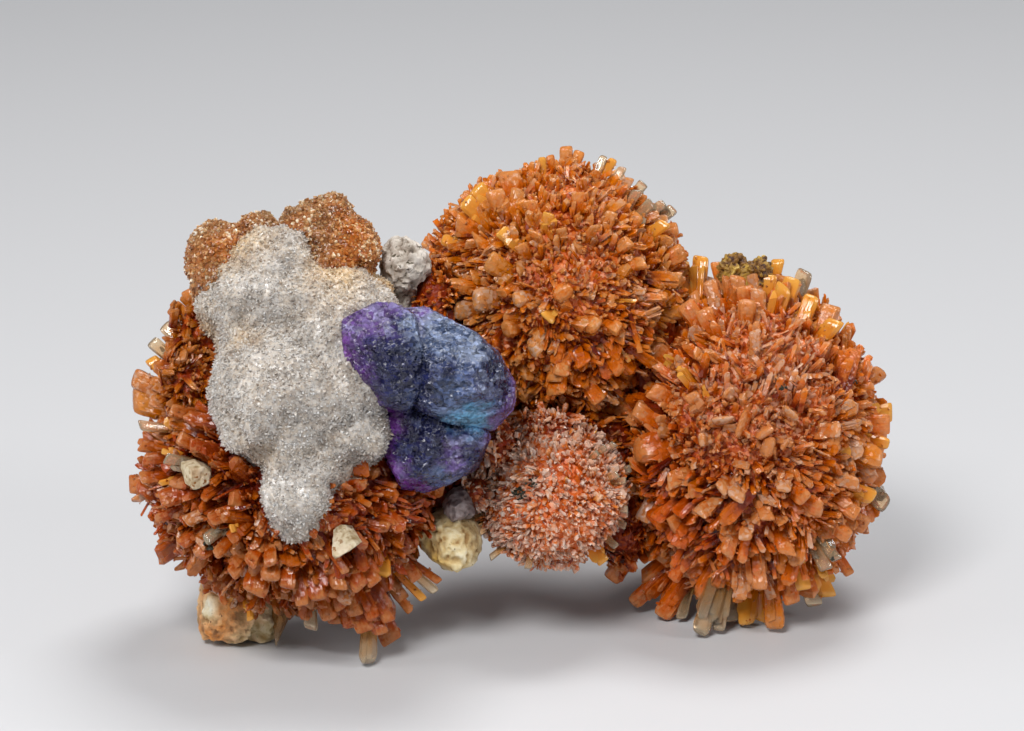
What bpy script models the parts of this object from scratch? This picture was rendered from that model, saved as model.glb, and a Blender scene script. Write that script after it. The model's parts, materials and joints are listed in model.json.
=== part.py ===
"""Cabinet specimen of creedite: four balls of radiating orange creedite blades grown together, a crust of
white drusy quartz with two sugary knobs, an intergrown purple and blue fluorite, and stones of the host rock.

Row frame: metres, +Z up, -Y to the front. The origin is on the ground under the middle of the bounding box.
Everything below is laid out in millimetres, and scaled to metres when a mesh is made.

Sub-parts were laid out from the specimen's front view. A position is given as (across, down) in that view, in
picture points of a 1024 x 731 frame, with the depth behind the view's reference plane in millimetres.
"""

import math
import random

import bmesh
import bpy
from mathutils import Vector, noise

# ---- driving dimensions, millimetres unless said otherwise --------------------------------------------------
POINT_MM = 0.105  # one picture point on the reference plane: the specimen is about 80 mm wide
VIEW_TILT = math.radians(18.0)  # the view looks down this much
VIEW_DISTANCE = 450.0
VIEW_AIM = Vector((0.0, 4.0, 28.7))  # what the middle of the view looks at
VIEW_MIDDLE = (512.0, 365.5)
SHIFT = Vector((-0.287, -5.161, 0.0))  # moves the layout so that the origin is under the middle of the box

GAP = 0.30  # clearance between neighbouring sub-parts
CORE_SHARE = 0.86  # how much of a ball's radius is the solid mass that the blades stand out of

# ball: (across, down, depth, (radius x, y, z))
BALL_LEFT = (298, 464, 0.0, (17.7, 17.2, 17.8))
BALL_TOP = (556, 297, 13.5, (15.3, 15.0, 15.4))
BALL_RIGHT = (748, 442, 10.5, (15.5, 17.0, 19.4))
BALL_SMALL = (550, 492, 0.0, (8.7, 9.0, 8.7))

# blades that stand out on a ball: (tip across, tip down, width)
BLADES_LEFT = [
    (132, 376, 2.6), (133, 404, 2.4), (139, 425, 1.2), (140, 445, 1.6), (143, 461, 1.5), (129, 484, 2.4),
    (160, 500, 2.2), (159, 327, 1.5), (147, 343, 1.2), (147, 358, 1.3), (172, 305, 1.8), (178, 436, 1.7),
    (185, 522, 1.6), (199, 556, 2.2), (249, 566, 2.0), (278, 570, 1.7), (287, 590, 2.0), (255, 595, 2.6),
    (319, 600, 2.2), (347, 626, 2.0), (374, 586, 2.0), (393, 642, 2.3), (305, 628, 2.4), (273, 640, 1.6),
    (428, 606, 1.8), (442, 590, 1.6), (413, 616, 1.8), (400, 560, 2.0), (190, 575, 2.0), (440, 470, 2.2),
    (372, 612, 2.0), (333, 590, 1.8), (410, 520, 2.4), (225, 520, 2.2), (215, 500, 1.9),
]
BLADES_TOP = [
    (508, 171, 2.8), (476, 187, 2.4), (456, 222, 2.0), (424, 240, 2.2), (442, 238, 1.8), (541, 153, 1.5),
    (566, 145, 1.8), (590, 150, 1.6), (616, 154, 1.6),
    (646, 179, 1.8), (675, 207, 1.9), (679, 228, 1.9), (684, 253, 2.4), (579, 205, 2.0), (549, 215, 1.8),
    (597, 226, 1.9), (490, 262, 2.4), (463, 300, 2.6), (563, 294, 2.8), (598, 326, 2.2), (547, 319, 2.0),
    (451, 286, 2.2), (520, 335, 2.4), (505, 375, 2.3), (560, 385, 2.4), (610, 290, 2.0), (640, 245, 2.2),
]
BLADES_RIGHT = [
    (643, 340, 3.6), (684, 303, 2.4), (703, 308, 2.2), (660, 297, 2.4), (655, 262, 2.6), (703, 247, 2.2),
    (778, 258, 2.2), (805, 270, 2.4), (833, 304, 2.4), (810, 294, 2.0), (882, 370, 2.6), (892, 414, 2.6),
    (620, 405, 3.2), (628, 450, 3.4), (648, 390, 2.0), (668, 482, 2.2), (699, 517, 2.4), (677, 548, 2.2),
    (788, 556, 2.3), (726, 556, 2.4), (701, 600, 2.8), (661, 617, 2.6), (681, 619, 1.4), (699, 634, 2.2),
    (719, 631, 1.8), (746, 625, 2.4), (775, 629, 2.6), (829, 597, 2.2), (815, 607, 2.0), (827, 570, 1.8),
    (837, 562, 1.6), (850, 538, 2.2), (867, 527, 2.2), (887, 505, 2.2), (858, 484, 1.8), (880, 458, 2.6),
    (822, 510, 2.4), (790, 498, 2.2), (770, 448, 2.4), (735, 498, 2.6), (730, 418, 2.6), (610, 580, 2.6),
    (635, 600, 2.4), (606, 378, 2.0), (760, 590, 2.2), (805, 340, 2.2), (750, 335, 2.0), (850, 400, 2.0),
]
BLADES_SMALL = [
    (615, 443, 1.5), (631, 468, 1.5), (626, 481, 1.3), (469, 528, 1.6), (528, 570, 1.3), (577, 573, 1.4),
    (607, 564, 1.7), (617, 547, 1.4), (467, 474, 1.5), (556, 412, 1.6), (500, 440, 1.3), (545, 480, 1.4),
    (520, 520, 1.3), (575, 520, 1.4), (595, 500, 1.3), (555, 545, 1.3), (490, 500, 1.3),
]
# feet: blades that reach the ground, as the point they stand on (mm) and their width
FOOT_PRISM = (368, 664)  # the glassy prism under the left ball, its tip in the view
FOOT_BACK = Vector((-20.5, 9.0, 0.0))
FOOT_RIGHT_WIDTH = 5.6  # the right ball stands on a broken-off bundle this wide

# host-rock stones, quartz and fluorite, as overlapping lumps: (across, down, depth, rx, ry, rz)
QUARTZ_CRUST = [
    (272, 300, -2.0, 8.0, 8.0, 7.4), (332, 326, -3.5, 6.6, 8.0, 6.6), (278, 398, -10.0, 7.2, 7.4, 7.0),
    (346, 400, -9.0, 4.8, 7.0, 8.2), (294, 486, -13.0, 3.9, 4.6, 4.6),
]
KNOB_LEFT = [(224, 263, -0.5, 4.3, 4.6, 4.8), (256, 230, 1.0, 2.1, 3.0, 2.0)]
KNOB_RIGHT = [(324, 250, 1.5, 5.9, 6.0, 5.6)]
GREY_STONE = [(405, 264, 4.0, 2.5, 3.4, 3.5), (398, 335, 6.0, 4.0, 6.4, 6.6)]
CREAM_STONE = [(450, 541, -3.5, 3.3, 4.2, 3.5)]
GREY_CHIP = [(460, 505, -3.6, 1.8, 3.2, 1.7)]
STAINED_STONE = [(223, 607, -1.0, 3.0, 3.8, 4.7), (255, 613, -0.6, 3.1, 3.4, 3.5)]
CHIP_LEFT = [(195, 473, -12.0, 1.55, 2.6, 1.75)]
CHIP_LOW = [(346, 539, -14.2, 1.8, 2.4, 2.0)]
YELLOW_CRUST = [(734, 274, 10.5, 1.7, 2.6, 2.1), (756, 274, 10.8, 1.7, 2.8, 2.0)]

# fluorite individuals: outline in the view, depth at the back, at the widest, and at the front face
FLUORITE = [
    (  # purple, upper left
        [(344, 322), (375, 305), (394, 305), (408, 318), (412, 350), (412, 392), (402, 412), (375, 403), (361, 396), (350, 373), (344, 344)],
        -4.0, -12.0, -16.2, 0.62,
    ),
    (  # blue, upper right
        [(402, 312), (424, 309), (445, 319), (477, 335), (497, 354), (513, 384), (511, 408), (492, 428), (464, 427), (444, 422), (416, 408), (398, 394), (392, 350)],
        -1.0, -10.5, -15.8, 0.60,
    ),
    (  # deep blue, lower
        [(371, 408), (392, 396), (430, 398), (470, 418), (488, 436), (481, 453), (475, 468), (450, 481), (426, 491), (402, 488), (389, 463), (375, 427)],
        -4.0, -9.5, -14.2, 0.66,
    ),
]


# ---- the front view -------------------------------------------------------------------------------------------
VIEW_FORWARD = Vector((0.0, math.cos(VIEW_TILT), -math.sin(VIEW_TILT)))
VIEW_UP = Vector((0.0, math.sin(VIEW_TILT), math.cos(VIEW_TILT)))
VIEW_EYE = VIEW_AIM - VIEW_FORWARD * VIEW_DISTANCE


def sight(across, down):
    """Unit direction from the eye through a point of the view."""
    ray = VIEW_FORWARD * VIEW_DISTANCE
    ray = ray + Vector((1, 0, 0)) * (across - VIEW_MIDDLE[0]) * POINT_MM
    ray = ray + VIEW_UP * (VIEW_MIDDLE[1] - down) * POINT_MM
    return ray.normalized()


def in_view(across, down, depth):
    """The point at that depth (y) that shows at (across, down)."""
    ray = sight(across, down)
    return VIEW_EYE + ray * ((depth - VIEW_EYE.y) / ray.y)


def on_ground(across, down):
    ray = sight(across, down)
    return VIEW_EYE + ray * (-VIEW_EYE.z / ray.z)


def reach_at(direction, radii):
    """Distance from an ellipsoid's centre to its surface in a direction."""
    return 1.0 / math.sqrt(sum((direction[k] / radii[k]) ** 2 for k in range(3)))


def tip_on_ball(across, down, centre, radii):
    """(direction, reach) of a blade whose tip shows at (across, down): on the ball's front, or on its outline."""
    ray = sight(across, down)
    to = [(VIEW_EYE[k] - centre[k]) / radii[k] for k in range(3)]
    d = [ray[k] / radii[k] for k in range(3)]
    a = sum(x * x for x in d)
    b = sum(x * y for x, y in zip(d, to))
    c = sum(x * x for x in to) - 1.0
    inside = b * b - a * c
    t = (-b - math.sqrt(inside)) / a if inside > 0 else -b / a
    tip = VIEW_EYE + ray * t
    if tip.z < 0.3:
        tip = on_ground(across, down) + Vector((0, 0, 0.3))
    tip = tip - centre
    return tip.normalized(), tip.length


# ---- balls of radiating blades ----------------------------------------------------------------------------------
def spread_seeds(fixed, spacing, rng, tries=4000):
    """More directions, no nearer than spacing (radians) to each other and to the fixed ones."""
    found = []
    for _ in range(tries):
        z = rng.uniform(-1, 1)
        a = rng.uniform(0, 2 * math.pi)
        r = math.sqrt(1 - z * z)
        d = Vector((r * math.cos(a), r * math.sin(a), z))
        if all(d.angle(f[0]) > max(spacing, f[1]) for f in fixed) and all(d.angle(g) > spacing for g in found):
            found.append(d)
    return found


def ball_mesh(centre, radii, seeds):
    """One closed mesh: the ball is divided into one cell to each blade (the cells of the nearest seed), and
    each cell's floor carries a prism with a chisel or a pointed end. seeds: (direction, reach, width, kind)."""
    hull = bmesh.new()
    for seed in seeds:
        hull.verts.new(seed[0])
    hull.verts.ensure_lookup_table()
    for i, v in enumerate(hull.verts):
        v.index = i
    bmesh.ops.convex_hull(hull, input=list(hull.verts))
    hull.verts.ensure_lookup_table()
    corners, corner_of = [], {}
    for f in hull.faces:
        n = (f.verts[1].co - f.verts[0].co).cross(f.verts[2].co - f.verts[0].co).normalized()
        if n.dot(f.verts[0].co) < 0:
            n = -n
        corner_of[f] = len(corners)
        corners.append(n)
    bm = bmesh.new()
    floor = [bm.verts.new(centre + n * reach_at(n, radii) * CORE_SHARE) for n in corners]
    for v, (d, reach, width, kind) in zip(list(hull.verts)[: len(seeds)], seeds):
        side = d.orthogonal().normalized()
        up = d.cross(side)
        faces = sorted(v.link_faces, key=lambda f: math.atan2(corners[corner_of[f]].dot(up), corners[corner_of[f]].dot(side)))
        ring = [corner_of[f] for f in faces]
        n = len(ring)
        if kind == "bare":
            middle = bm.verts.new(centre + d * reach_at(d, radii) * CORE_SHARE)
            for k in range(n):
                bm.faces.new((floor[ring[k]], floor[ring[(k + 1) % n]], middle))
            continue
        base_reach = reach_at(d, radii) * CORE_SHARE
        flat = [(corners[c] - d * corners[c].dot(d)) for c in ring]
        wide = sum(p.length for p in flat) / n * base_reach
        share = 0.74 if kind == "bundle" else min(0.82, max(0.50, 0.5 * width / max(wide, 1e-6)))
        foot = []
        for c in ring:
            p = d.lerp(corners[c], share).normalized()
            foot.append(bm.verts.new(centre + p * reach_at(p, radii) * CORE_SHARE))
        tip_len = min(0.8 * width, (0.8 if kind == "bundle" else 0.5) * (reach - base_reach))
        shoulder = []
        for p in foot:
            q = p.co - centre
            q = q - d * q.dot(d)
            shoulder.append(bm.verts.new(centre + q + d * (reach - tip_len)))
        if kind == "stub":
            shoulder_top = shoulder
            for p in shoulder:
                p.co = centre + (p.co - centre) + d * tip_len
        for k in range(n):
            j = (k + 1) % n
            bm.faces.new((floor[ring[k]], floor[ring[j]], foot[j], foot[k]))
            bm.faces.new((foot[k], foot[j], shoulder[j], shoulder[k]))
        if kind == "stub":
            bm.faces.new(shoulder_top)
        else:
            apex = bm.verts.new(centre + d * reach)
            for k in range(n):
                bm.faces.new((shoulder[k], shoulder[(k + 1) % n], apex))
    hull.free()
    bmesh.ops.recalc_face_normals(bm, faces=list(bm.faces))
    return bm


def keep_side(bm, point, normal):
    """Cuts the mesh by a plane, keeps what lies against the normal, and closes the cut with flat faces."""
    geom = list(bm.verts) + list(bm.edges) + list(bm.faces)
    cut = bmesh.ops.bisect_plane(bm, geom=geom, dist=1e-5, plane_co=point, plane_no=normal, clear_outer=True)
    edges = [e for e in cut["geom_cut"] if isinstance(e, bmesh.types.BMEdge) and len(e.link_faces) == 1]
    if edges:
        bmesh.ops.edgeloop_fill(bm, edges=edges)
    bmesh.ops.recalc_face_normals(bm, faces=list(bm.faces))


def object_of(name, bm, colour, rough):
    """A named object, in metres and in the row frame, with a plain material."""
    mesh = bpy.data.meshes.new(name)
    bmesh.ops.translate(bm, verts=bm.verts, vec=SHIFT)
    bmesh.ops.scale(bm, verts=bm.verts, vec=(0.001, 0.001, 0.001))
    bm.to_mesh(mesh)
    bm.free()
    obj = bpy.data.objects.new(name, mesh)
    bpy.context.scene.collection.objects.link(obj)
    material = bpy.data.materials.new(name)
    material.use_nodes = True
    shader = material.node_tree.nodes["Principled BSDF"]
    shader.inputs["Base Color"].default_value = (*colour, 1.0)
    shader.inputs["Roughness"].default_value = rough
    shader.inputs["Metallic"].default_value = 0.0
    mesh.materials.append(material)
    return obj


# ---- lumps: stones, quartz crust, knobs ---------------------------------------------------------------------------
def lump_bm(spec, grow, level, rough, seed):
    """One uneven ellipsoid of a lump, grown by a margin."""
    across, down, depth, rx, ry, rz = spec
    centre = in_view(across, down, depth)
    bm = bmesh.new()
    bmesh.ops.create_icosphere(bm, subdivisions=level, radius=1.0)
    for v in bm.verts:
        d = v.co.normalized()
        wave = 1.0 + rough * noise.noise(d * 2.1 + Vector((seed, 0, 0)))
        v.co = centre + Vector((d.x * (rx * wave + grow), d.y * (ry * wave + grow), d.z * (rz * wave + grow)))
    return bm


def outline_bm(spec, grow):
    """A stout crystal from its outline: rings from the back, over the widest, to a smaller front face."""
    outline, back, widest, front, share = spec
    middle = (sum(p[0] for p in outline) / len(outline), sum(p[1] for p in outline) / len(outline))
    bm = bmesh.new()
    rings = []
    for depth, scale in ((back + grow, 0.80), ((back + widest) / 2, 1.0), (widest, 1.0), (front - grow, share)):
        points = [in_view(middle[0] + (p[0] - middle[0]) * scale, middle[1] + (p[1] - middle[1]) * scale, depth) for p in outline]
        heart = sum(points, Vector()) / len(points)
        rings.append([bm.verts.new(p + (p - heart).normalized() * grow) for p in points])
    n = len(outline)
    for a, b in zip(rings, rings[1:]):
        for k in range(n):
            j = (k + 1) % n
            bm.faces.new((a[k], a[j], b[j], b[k]))
    for ring in (rings[0], rings[-1]):
        heart = bm.verts.new(sum((v.co for v in ring), Vector()) / n)
        for k in range(n):
            bm.faces.new((ring[k], ring[(k + 1) % n], heart))
    bmesh.ops.recalc_face_normals(bm, faces=list(bm.faces))
    return bm


def boolean(obj, other, operation):
    modifier = obj.modifiers.new("cut", "BOOLEAN")
    modifier.operation = operation
    modifier.solver = "EXACT"
    modifier.object = other
    bpy.context.view_layer.update()
    mesh = bpy.data.meshes.new_from_object(obj.evaluated_get(bpy.context.evaluated_depsgraph_get()))
    obj.modifiers.remove(modifier)
    old, obj.data = obj.data, mesh
    mesh.name = obj.name
    bpy.data.meshes.remove(old)


def joined(name, meshes, colour, rough):
    """The union of several closed meshes as one object."""
    first = object_of(name, meshes[0], colour, rough)
    for bm in meshes[1:]:
        other = object_of("joining", bm, colour, rough)
        boolean(first, other, "UNION")
        bpy.data.objects.remove(other)
    return first


def tidy(obj):
    """Keeps the largest connected body, and dissolves the slivers that cuts leave."""
    bm = bmesh.new()
    bm.from_mesh(obj.data)
    bmesh.ops.remove_doubles(bm, verts=bm.verts, dist=2e-6)
    bmesh.ops.dissolve_degenerate(bm, edges=bm.edges, dist=2e-6)
    left, bodies = set(bm.verts), []
    while left:
        todo, body = [left.pop()], []
        while todo:
            v = todo.pop()
            body.append(v)
            for e in v.link_edges:
                w = e.other_vert(v)
                if w in left:
                    left.discard(w)
                    todo.append(w)
        bodies.append(body)
    bodies.sort(key=len)
    for body in bodies[:-1]:
        bmesh.ops.delete(bm, geom=body, context="VERTS")
    bmesh.ops.triangulate(bm, faces=bm.faces)
    bm.to_mesh(obj.data)
    bm.free()


def cut_away(obj, cutters):
    """Removes the cutters' space from obj."""
    for bm in cutters:
        other = object_of("cutter", bm, (0.5, 0.5, 0.5), 0.5)
        boolean(obj, other, "DIFFERENCE")
        bpy.data.objects.remove(other)


LUMPS = {  # name: (ellipsoids, unevenness, seed, icosphere level, colour, roughness)
    "grey_matrix_stone": (GREY_STONE, 0.30, 3.1, 2, (0.62, 0.60, 0.55), 0.9),
    "cream_matrix_stone": (CREAM_STONE, 0.25, 7.7, 2, (0.78, 0.70, 0.42), 0.7),
    "grey_quartz_chip": (GREY_CHIP, 0.35, 5.2, 1, (0.28, 0.25, 0.26), 0.4),
    "stained_matrix_stone": (STAINED_STONE, 0.16, 1.4, 2, (0.72, 0.52, 0.25), 0.8),
    "cream_chip_left": (CHIP_LEFT, 0.30, 2.2, 1, (0.74, 0.60, 0.40), 0.8),
    "cream_chip_low": (CHIP_LOW, 0.30, 8.3, 1, (0.76, 0.66, 0.48), 0.8),
    "ochre_crust": (YELLOW_CRUST, 0.25, 4.9, 1, (0.62, 0.42, 0.10), 0.8),
    "quartz_crust": (QUARTZ_CRUST, 0.14, 6.3, 2, (0.80, 0.79, 0.76), 0.35),
    "sugar_knob_left": (KNOB_LEFT, 0.12, 9.1, 2, (0.62, 0.34, 0.14), 0.4),
    "sugar_knob_right": (KNOB_RIGHT, 0.12, 2.9, 2, (0.66, 0.32, 0.14), 0.4),
}


def lump_parts(name, grow):
    spec, rough, seed, level = LUMPS[name][:4]
    return [lump_bm(s, grow, level, rough, seed + 3 * i) for i, s in enumerate(spec)]


def fluorite_parts(grow):
    return [outline_bm(spec, grow) for spec in FLUORITE]


def main():
    for obj in list(bpy.data.objects):
        bpy.data.objects.remove(obj)

    made = {}

    # fluorite first: everything else makes room for it
    made["fluorite"] = joined("fluorite", fluorite_parts(0.0), (0.16, 0.12, 0.38), 0.3)
    before = [("fluorite", fluorite_parts)]
    for name in LUMPS:
        colour, rough = LUMPS[name][4:]
        obj = joined(name, lump_parts(name, 0.0), colour, rough)
        for other, parts in before:
            if touching(obj, made[other]):
                cut_away(obj, parts(GAP))
        made[name] = obj
        before.append((name, lambda grow, name=name: lump_parts(name, grow)))

    # the stained stone stands on the ground: its foot is broken flat
    for name in ("stained_matrix_stone",):
        floor_cut(made[name])

    balls = {
        "creedite_ball_left": (BALL_LEFT, BLADES_LEFT, 0.42, 11),
        "creedite_ball_top": (BALL_TOP, BLADES_TOP, 0.40, 23),
        "creedite_ball_right": (BALL_RIGHT, BLADES_RIGHT, 0.37, 37),
        "creedite_ball_small": (BALL_SMALL, BLADES_SMALL, 0.54, 41),
    }
    centres = {n: in_view(*b[0][:3]) for n, b in balls.items()}
    for name, (ball, blades, spacing, seed) in balls.items():
        rng = random.Random(seed)
        centre, radii = centres[name], ball[3]
        seeds = []
        if name == "creedite_ball_left":
            for point, width in ((on_ground(*FOOT_PRISM), 1.9), (FOOT_BACK, 3.0)):
                foot = point - centre
                seeds.append((foot.normalized(), foot.length, width, "stub"))
        if name == "creedite_ball_right":
            seeds.append((Vector((0, 0, -1)), centre.z, FOOT_RIGHT_WIDTH, "stub"))
        for across, down, width in blades:
            d, reach = tip_on_ball(across, down, centre, radii)
            if all(d.angle(s[0]) > 0.055 + 0.025 * s[2] for s in seeds):
                seeds.append((d, reach, width, "blade"))
        keep_off = [(s[0], (0.5 * s[2] + 2.2) / s[1]) for s in seeds]
        for d in spread_seeds(keep_off, spacing, rng):
            reach = reach_at(d, radii) * rng.uniform(0.95, 1.02)
            seeds.append((d, reach, 4.0, "bundle"))
        # a blade that would stand inside a neighbour stays a bare piece of the mass
        others = [(centres[n], balls[n][0][3]) for n in balls if n != name]
        checked = []
        for d, reach, width, kind in seeds:
            tip = centre + d * reach
            inside = any(
                sum(((tip[k] - c[k]) / (r[k] * 0.93)) ** 2 for k in range(3)) < 1 for c, r in others
            )
            checked.append((d, reach, width, "bare" if inside and kind != "stub" else kind))
        bm = ball_mesh(centre, radii, checked)
        # neighbouring balls meet on a plane between them
        for other in balls:
            if other == name:
                continue
            way = centres[other] - centre
            mine, theirs = reach_at(way.normalized(), radii), reach_at(way.normalized(), balls[other][0][3])
            if way.length > mine + theirs + 3.0:
                continue
            at = centre + way.normalized() * (way.length * mine / (mine + theirs) - GAP / 2)
            keep_side(bm, at, way.normalized())
        if name in ("creedite_ball_left", "creedite_ball_right"):
            keep_side(bm, Vector((0, 0, 0)), Vector((0, 0, -1)))
        obj = object_of(name, bm, (0.80, 0.26, 0.06), 0.3)
        for other, parts in before:
            if touching(obj, made[other]):
                cut_away(obj, parts(GAP))
        made[name] = obj

    for obj in made.values():
        tidy(obj)


def touching(a, b):
    """Whether two objects' boxes come within a millimetre."""
    boxes = []
    for obj in (a, b):
        points = [v.co for v in obj.data.vertices]
        boxes.append(([min(p[k] for p in points) for k in range(3)], [max(p[k] for p in points) for k in range(3)]))
    (lo, hi), (lo2, hi2) = boxes
    return all(lo[k] < hi2[k] + 0.001 and lo2[k] < hi[k] + 0.001 for k in range(3))


def floor_cut(obj):
    bm = bmesh.new()
    bm.from_mesh(obj.data)
    keep_side(bm, Vector((0, 0, 0)), Vector((0, 0, -1)))
    bm.to_mesh(obj.data)
    bm.free()


main()
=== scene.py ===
import json
import math

import bpy
import numpy as np
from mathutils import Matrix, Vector

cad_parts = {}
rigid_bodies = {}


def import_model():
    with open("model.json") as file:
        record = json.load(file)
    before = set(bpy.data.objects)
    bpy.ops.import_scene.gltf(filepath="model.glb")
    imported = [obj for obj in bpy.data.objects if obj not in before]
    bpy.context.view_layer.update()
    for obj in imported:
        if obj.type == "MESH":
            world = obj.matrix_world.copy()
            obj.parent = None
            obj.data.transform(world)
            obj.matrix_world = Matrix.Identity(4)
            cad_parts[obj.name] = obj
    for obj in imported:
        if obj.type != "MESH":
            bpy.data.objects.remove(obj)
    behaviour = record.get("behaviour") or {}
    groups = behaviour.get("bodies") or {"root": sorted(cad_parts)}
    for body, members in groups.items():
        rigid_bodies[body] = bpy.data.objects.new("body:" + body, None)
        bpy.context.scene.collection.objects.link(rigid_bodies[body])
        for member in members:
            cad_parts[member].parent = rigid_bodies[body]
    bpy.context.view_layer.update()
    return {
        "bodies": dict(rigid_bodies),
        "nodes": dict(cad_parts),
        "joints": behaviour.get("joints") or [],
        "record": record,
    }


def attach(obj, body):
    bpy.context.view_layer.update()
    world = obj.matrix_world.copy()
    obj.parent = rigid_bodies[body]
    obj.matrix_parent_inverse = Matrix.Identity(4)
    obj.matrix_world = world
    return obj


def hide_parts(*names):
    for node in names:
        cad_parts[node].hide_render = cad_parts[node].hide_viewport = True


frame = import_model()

# ---- the layout, in millimetres, before SHIFT; the same view and the same centres as the CAD -----------------
POINT = 0.105
TILT = math.radians(18.0)
DIST = 450.0
AIM = np.array([0.0, 4.0, 28.7])
SHIFT = np.array([-0.287, -5.161, 0.0])
FWD = np.array([0.0, math.cos(TILT), -math.sin(TILT)])
UP = np.array([0.0, math.sin(TILT), math.cos(TILT)])
EYE = AIM - FWD * DIST

BALLS = {
    "left": (298, 464, 0.0, (17.7, 17.2, 17.8)),
    "top": (556, 297, 13.5, (15.3, 15.0, 15.4)),
    "right": (748, 442, 10.5, (15.5, 17.0, 19.4)),
    "small": (550, 492, 0.0, (8.7, 9.0, 8.7)),
}
QUARTZ = [
    (272, 300, -2.0, 8.0, 8.0, 7.4), (332, 326, -3.5, 6.6, 8.0, 6.6), (278, 398, -10.0, 7.2, 7.4, 7.0),
    (346, 400, -9.0, 4.8, 7.0, 8.2), (294, 486, -13.0, 3.9, 4.6, 4.6),
]
QUARTZ_SHAPE = QUARTZ + [(324, 456, -12.0, 3.2, 4.0, 4.4), (346, 466, -10.0, 2.4, 3.4, 3.6), (300, 512, -13.4, 2.6, 3.0, 3.0)]
KNOB_LEFT = [(224, 263, -0.5, 4.3, 4.6, 4.8), (256, 230, 1.0, 2.1, 3.0, 2.0)]
KNOB_RIGHT = [(324, 250, 1.5, 5.9, 6.0, 5.6)]
GREY = [(405, 264, 4.0, 2.5, 3.4, 3.5), (398, 335, 6.0, 4.0, 6.4, 6.6)]
GREY_SHAPE = [(405, 264, 3.6, 2.7, 3.2, 3.1), (398, 335, 6.0, 3.8, 6.2, 6.4), (402, 292, 4.5, 2.4, 3.0, 3.0)]
CREAM = [(450, 541, -3.5, 3.3, 4.2, 3.5)]
CHIP = [(460, 505, -3.6, 1.8, 3.2, 1.7)]
STAINED = [(223, 607, -1.0, 3.0, 3.8, 4.7), (255, 613, -0.6, 3.1, 3.4, 3.5)]
CHIP_LEFT = [(195, 473, -12.0, 1.55, 2.6, 1.75)]
CHIP_LOW = [(346, 539, -14.2, 1.8, 2.4, 2.0)]
OCHRE = [(734, 274, 10.5, 1.7, 2.6, 2.1), (756, 274, 10.8, 1.7, 2.8, 2.0)]
FLUORITE_SPACE = [(378, 360, -9.5, 3.6, 7.0, 5.4), (450, 370, -8.5, 6.6, 7.6, 6.4), (432, 440, -9.0, 6.0, 5.6, 5.4)]


def sight(across, down):
    ray = FWD * DIST + np.array([1.0, 0, 0]) * (across - 512.0) * POINT + UP * (365.5 - down) * POINT
    return ray / np.linalg.norm(ray)


def in_view(across, down, depth):
    ray = sight(across, down)
    return EYE + ray * ((depth - EYE[1]) / ray[1])


def on_ground(across, down, height=0.0):
    ray = sight(across, down)
    return EYE + ray * ((height - EYE[2]) / ray[2])


def seen_at(points):
    """Where points show in the front view."""
    q = points - EYE
    z = q @ FWD
    return np.stack([512.0 + q[:, 0] / z * DIST / POINT, 365.5 - (q @ UP) / z * DIST / POINT], -1)


def reach_at(d, radii):
    return 1.0 / np.sqrt(((d / np.array(radii)) ** 2).sum(-1))


def tip_on_ball(across, down, centre, radii):
    ray = sight(across, down)
    r = np.array(radii)
    to, d = (EYE - centre) / r, ray / r
    a, b, c = d @ d, d @ to, to @ to - 1.0
    inside = b * b - a * c
    t = (-b - math.sqrt(inside)) / a if inside > 0 else -b / a
    tip = EYE + ray * t
    if tip[2] < 0.3:
        tip = on_ground(across, down, 0.3)
    return tip


CENTRE = {k: in_view(*b[:3]) for k, b in BALLS.items()}
RADII = {k: np.array(b[3]) for k, b in BALLS.items()}


# ---- noise ------------------------------------------------------------------------------------------------------
def vnoise(p, freq, seed=0):
    """Smooth noise from -1 to 1 at each point."""
    q = np.asarray(p) * freq + seed * 7.31
    i = np.floor(q).astype(np.int64)
    f = q - i
    f = f * f * (3 - 2 * f)
    total = np.zeros(len(q))
    for dx in (0, 1):
        for dy in (0, 1):
            for dz in (0, 1):
                n = (i[:, 0] + dx) * 374761393 + (i[:, 1] + dy) * 668265263 + (i[:, 2] + dz) * 1442695041 + seed * 974634777
                n = (n ^ (n >> 13)) * 1274126177
                n = (n ^ (n >> 16)) & 0xFFFF
                w = (f[:, 0] if dx else 1 - f[:, 0]) * (f[:, 1] if dy else 1 - f[:, 1]) * (f[:, 2] if dz else 1 - f[:, 2])
                total += w * (n / 32767.5 - 1.0)
    return total


def fbm(p, freq, seed=0, octaves=3):
    total, size = 0.0, 1.0
    for k in range(octaves):
        total = total + size * vnoise(p, freq * 2**k, seed + 11 * k)
        size *= 0.5
    return total


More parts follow.
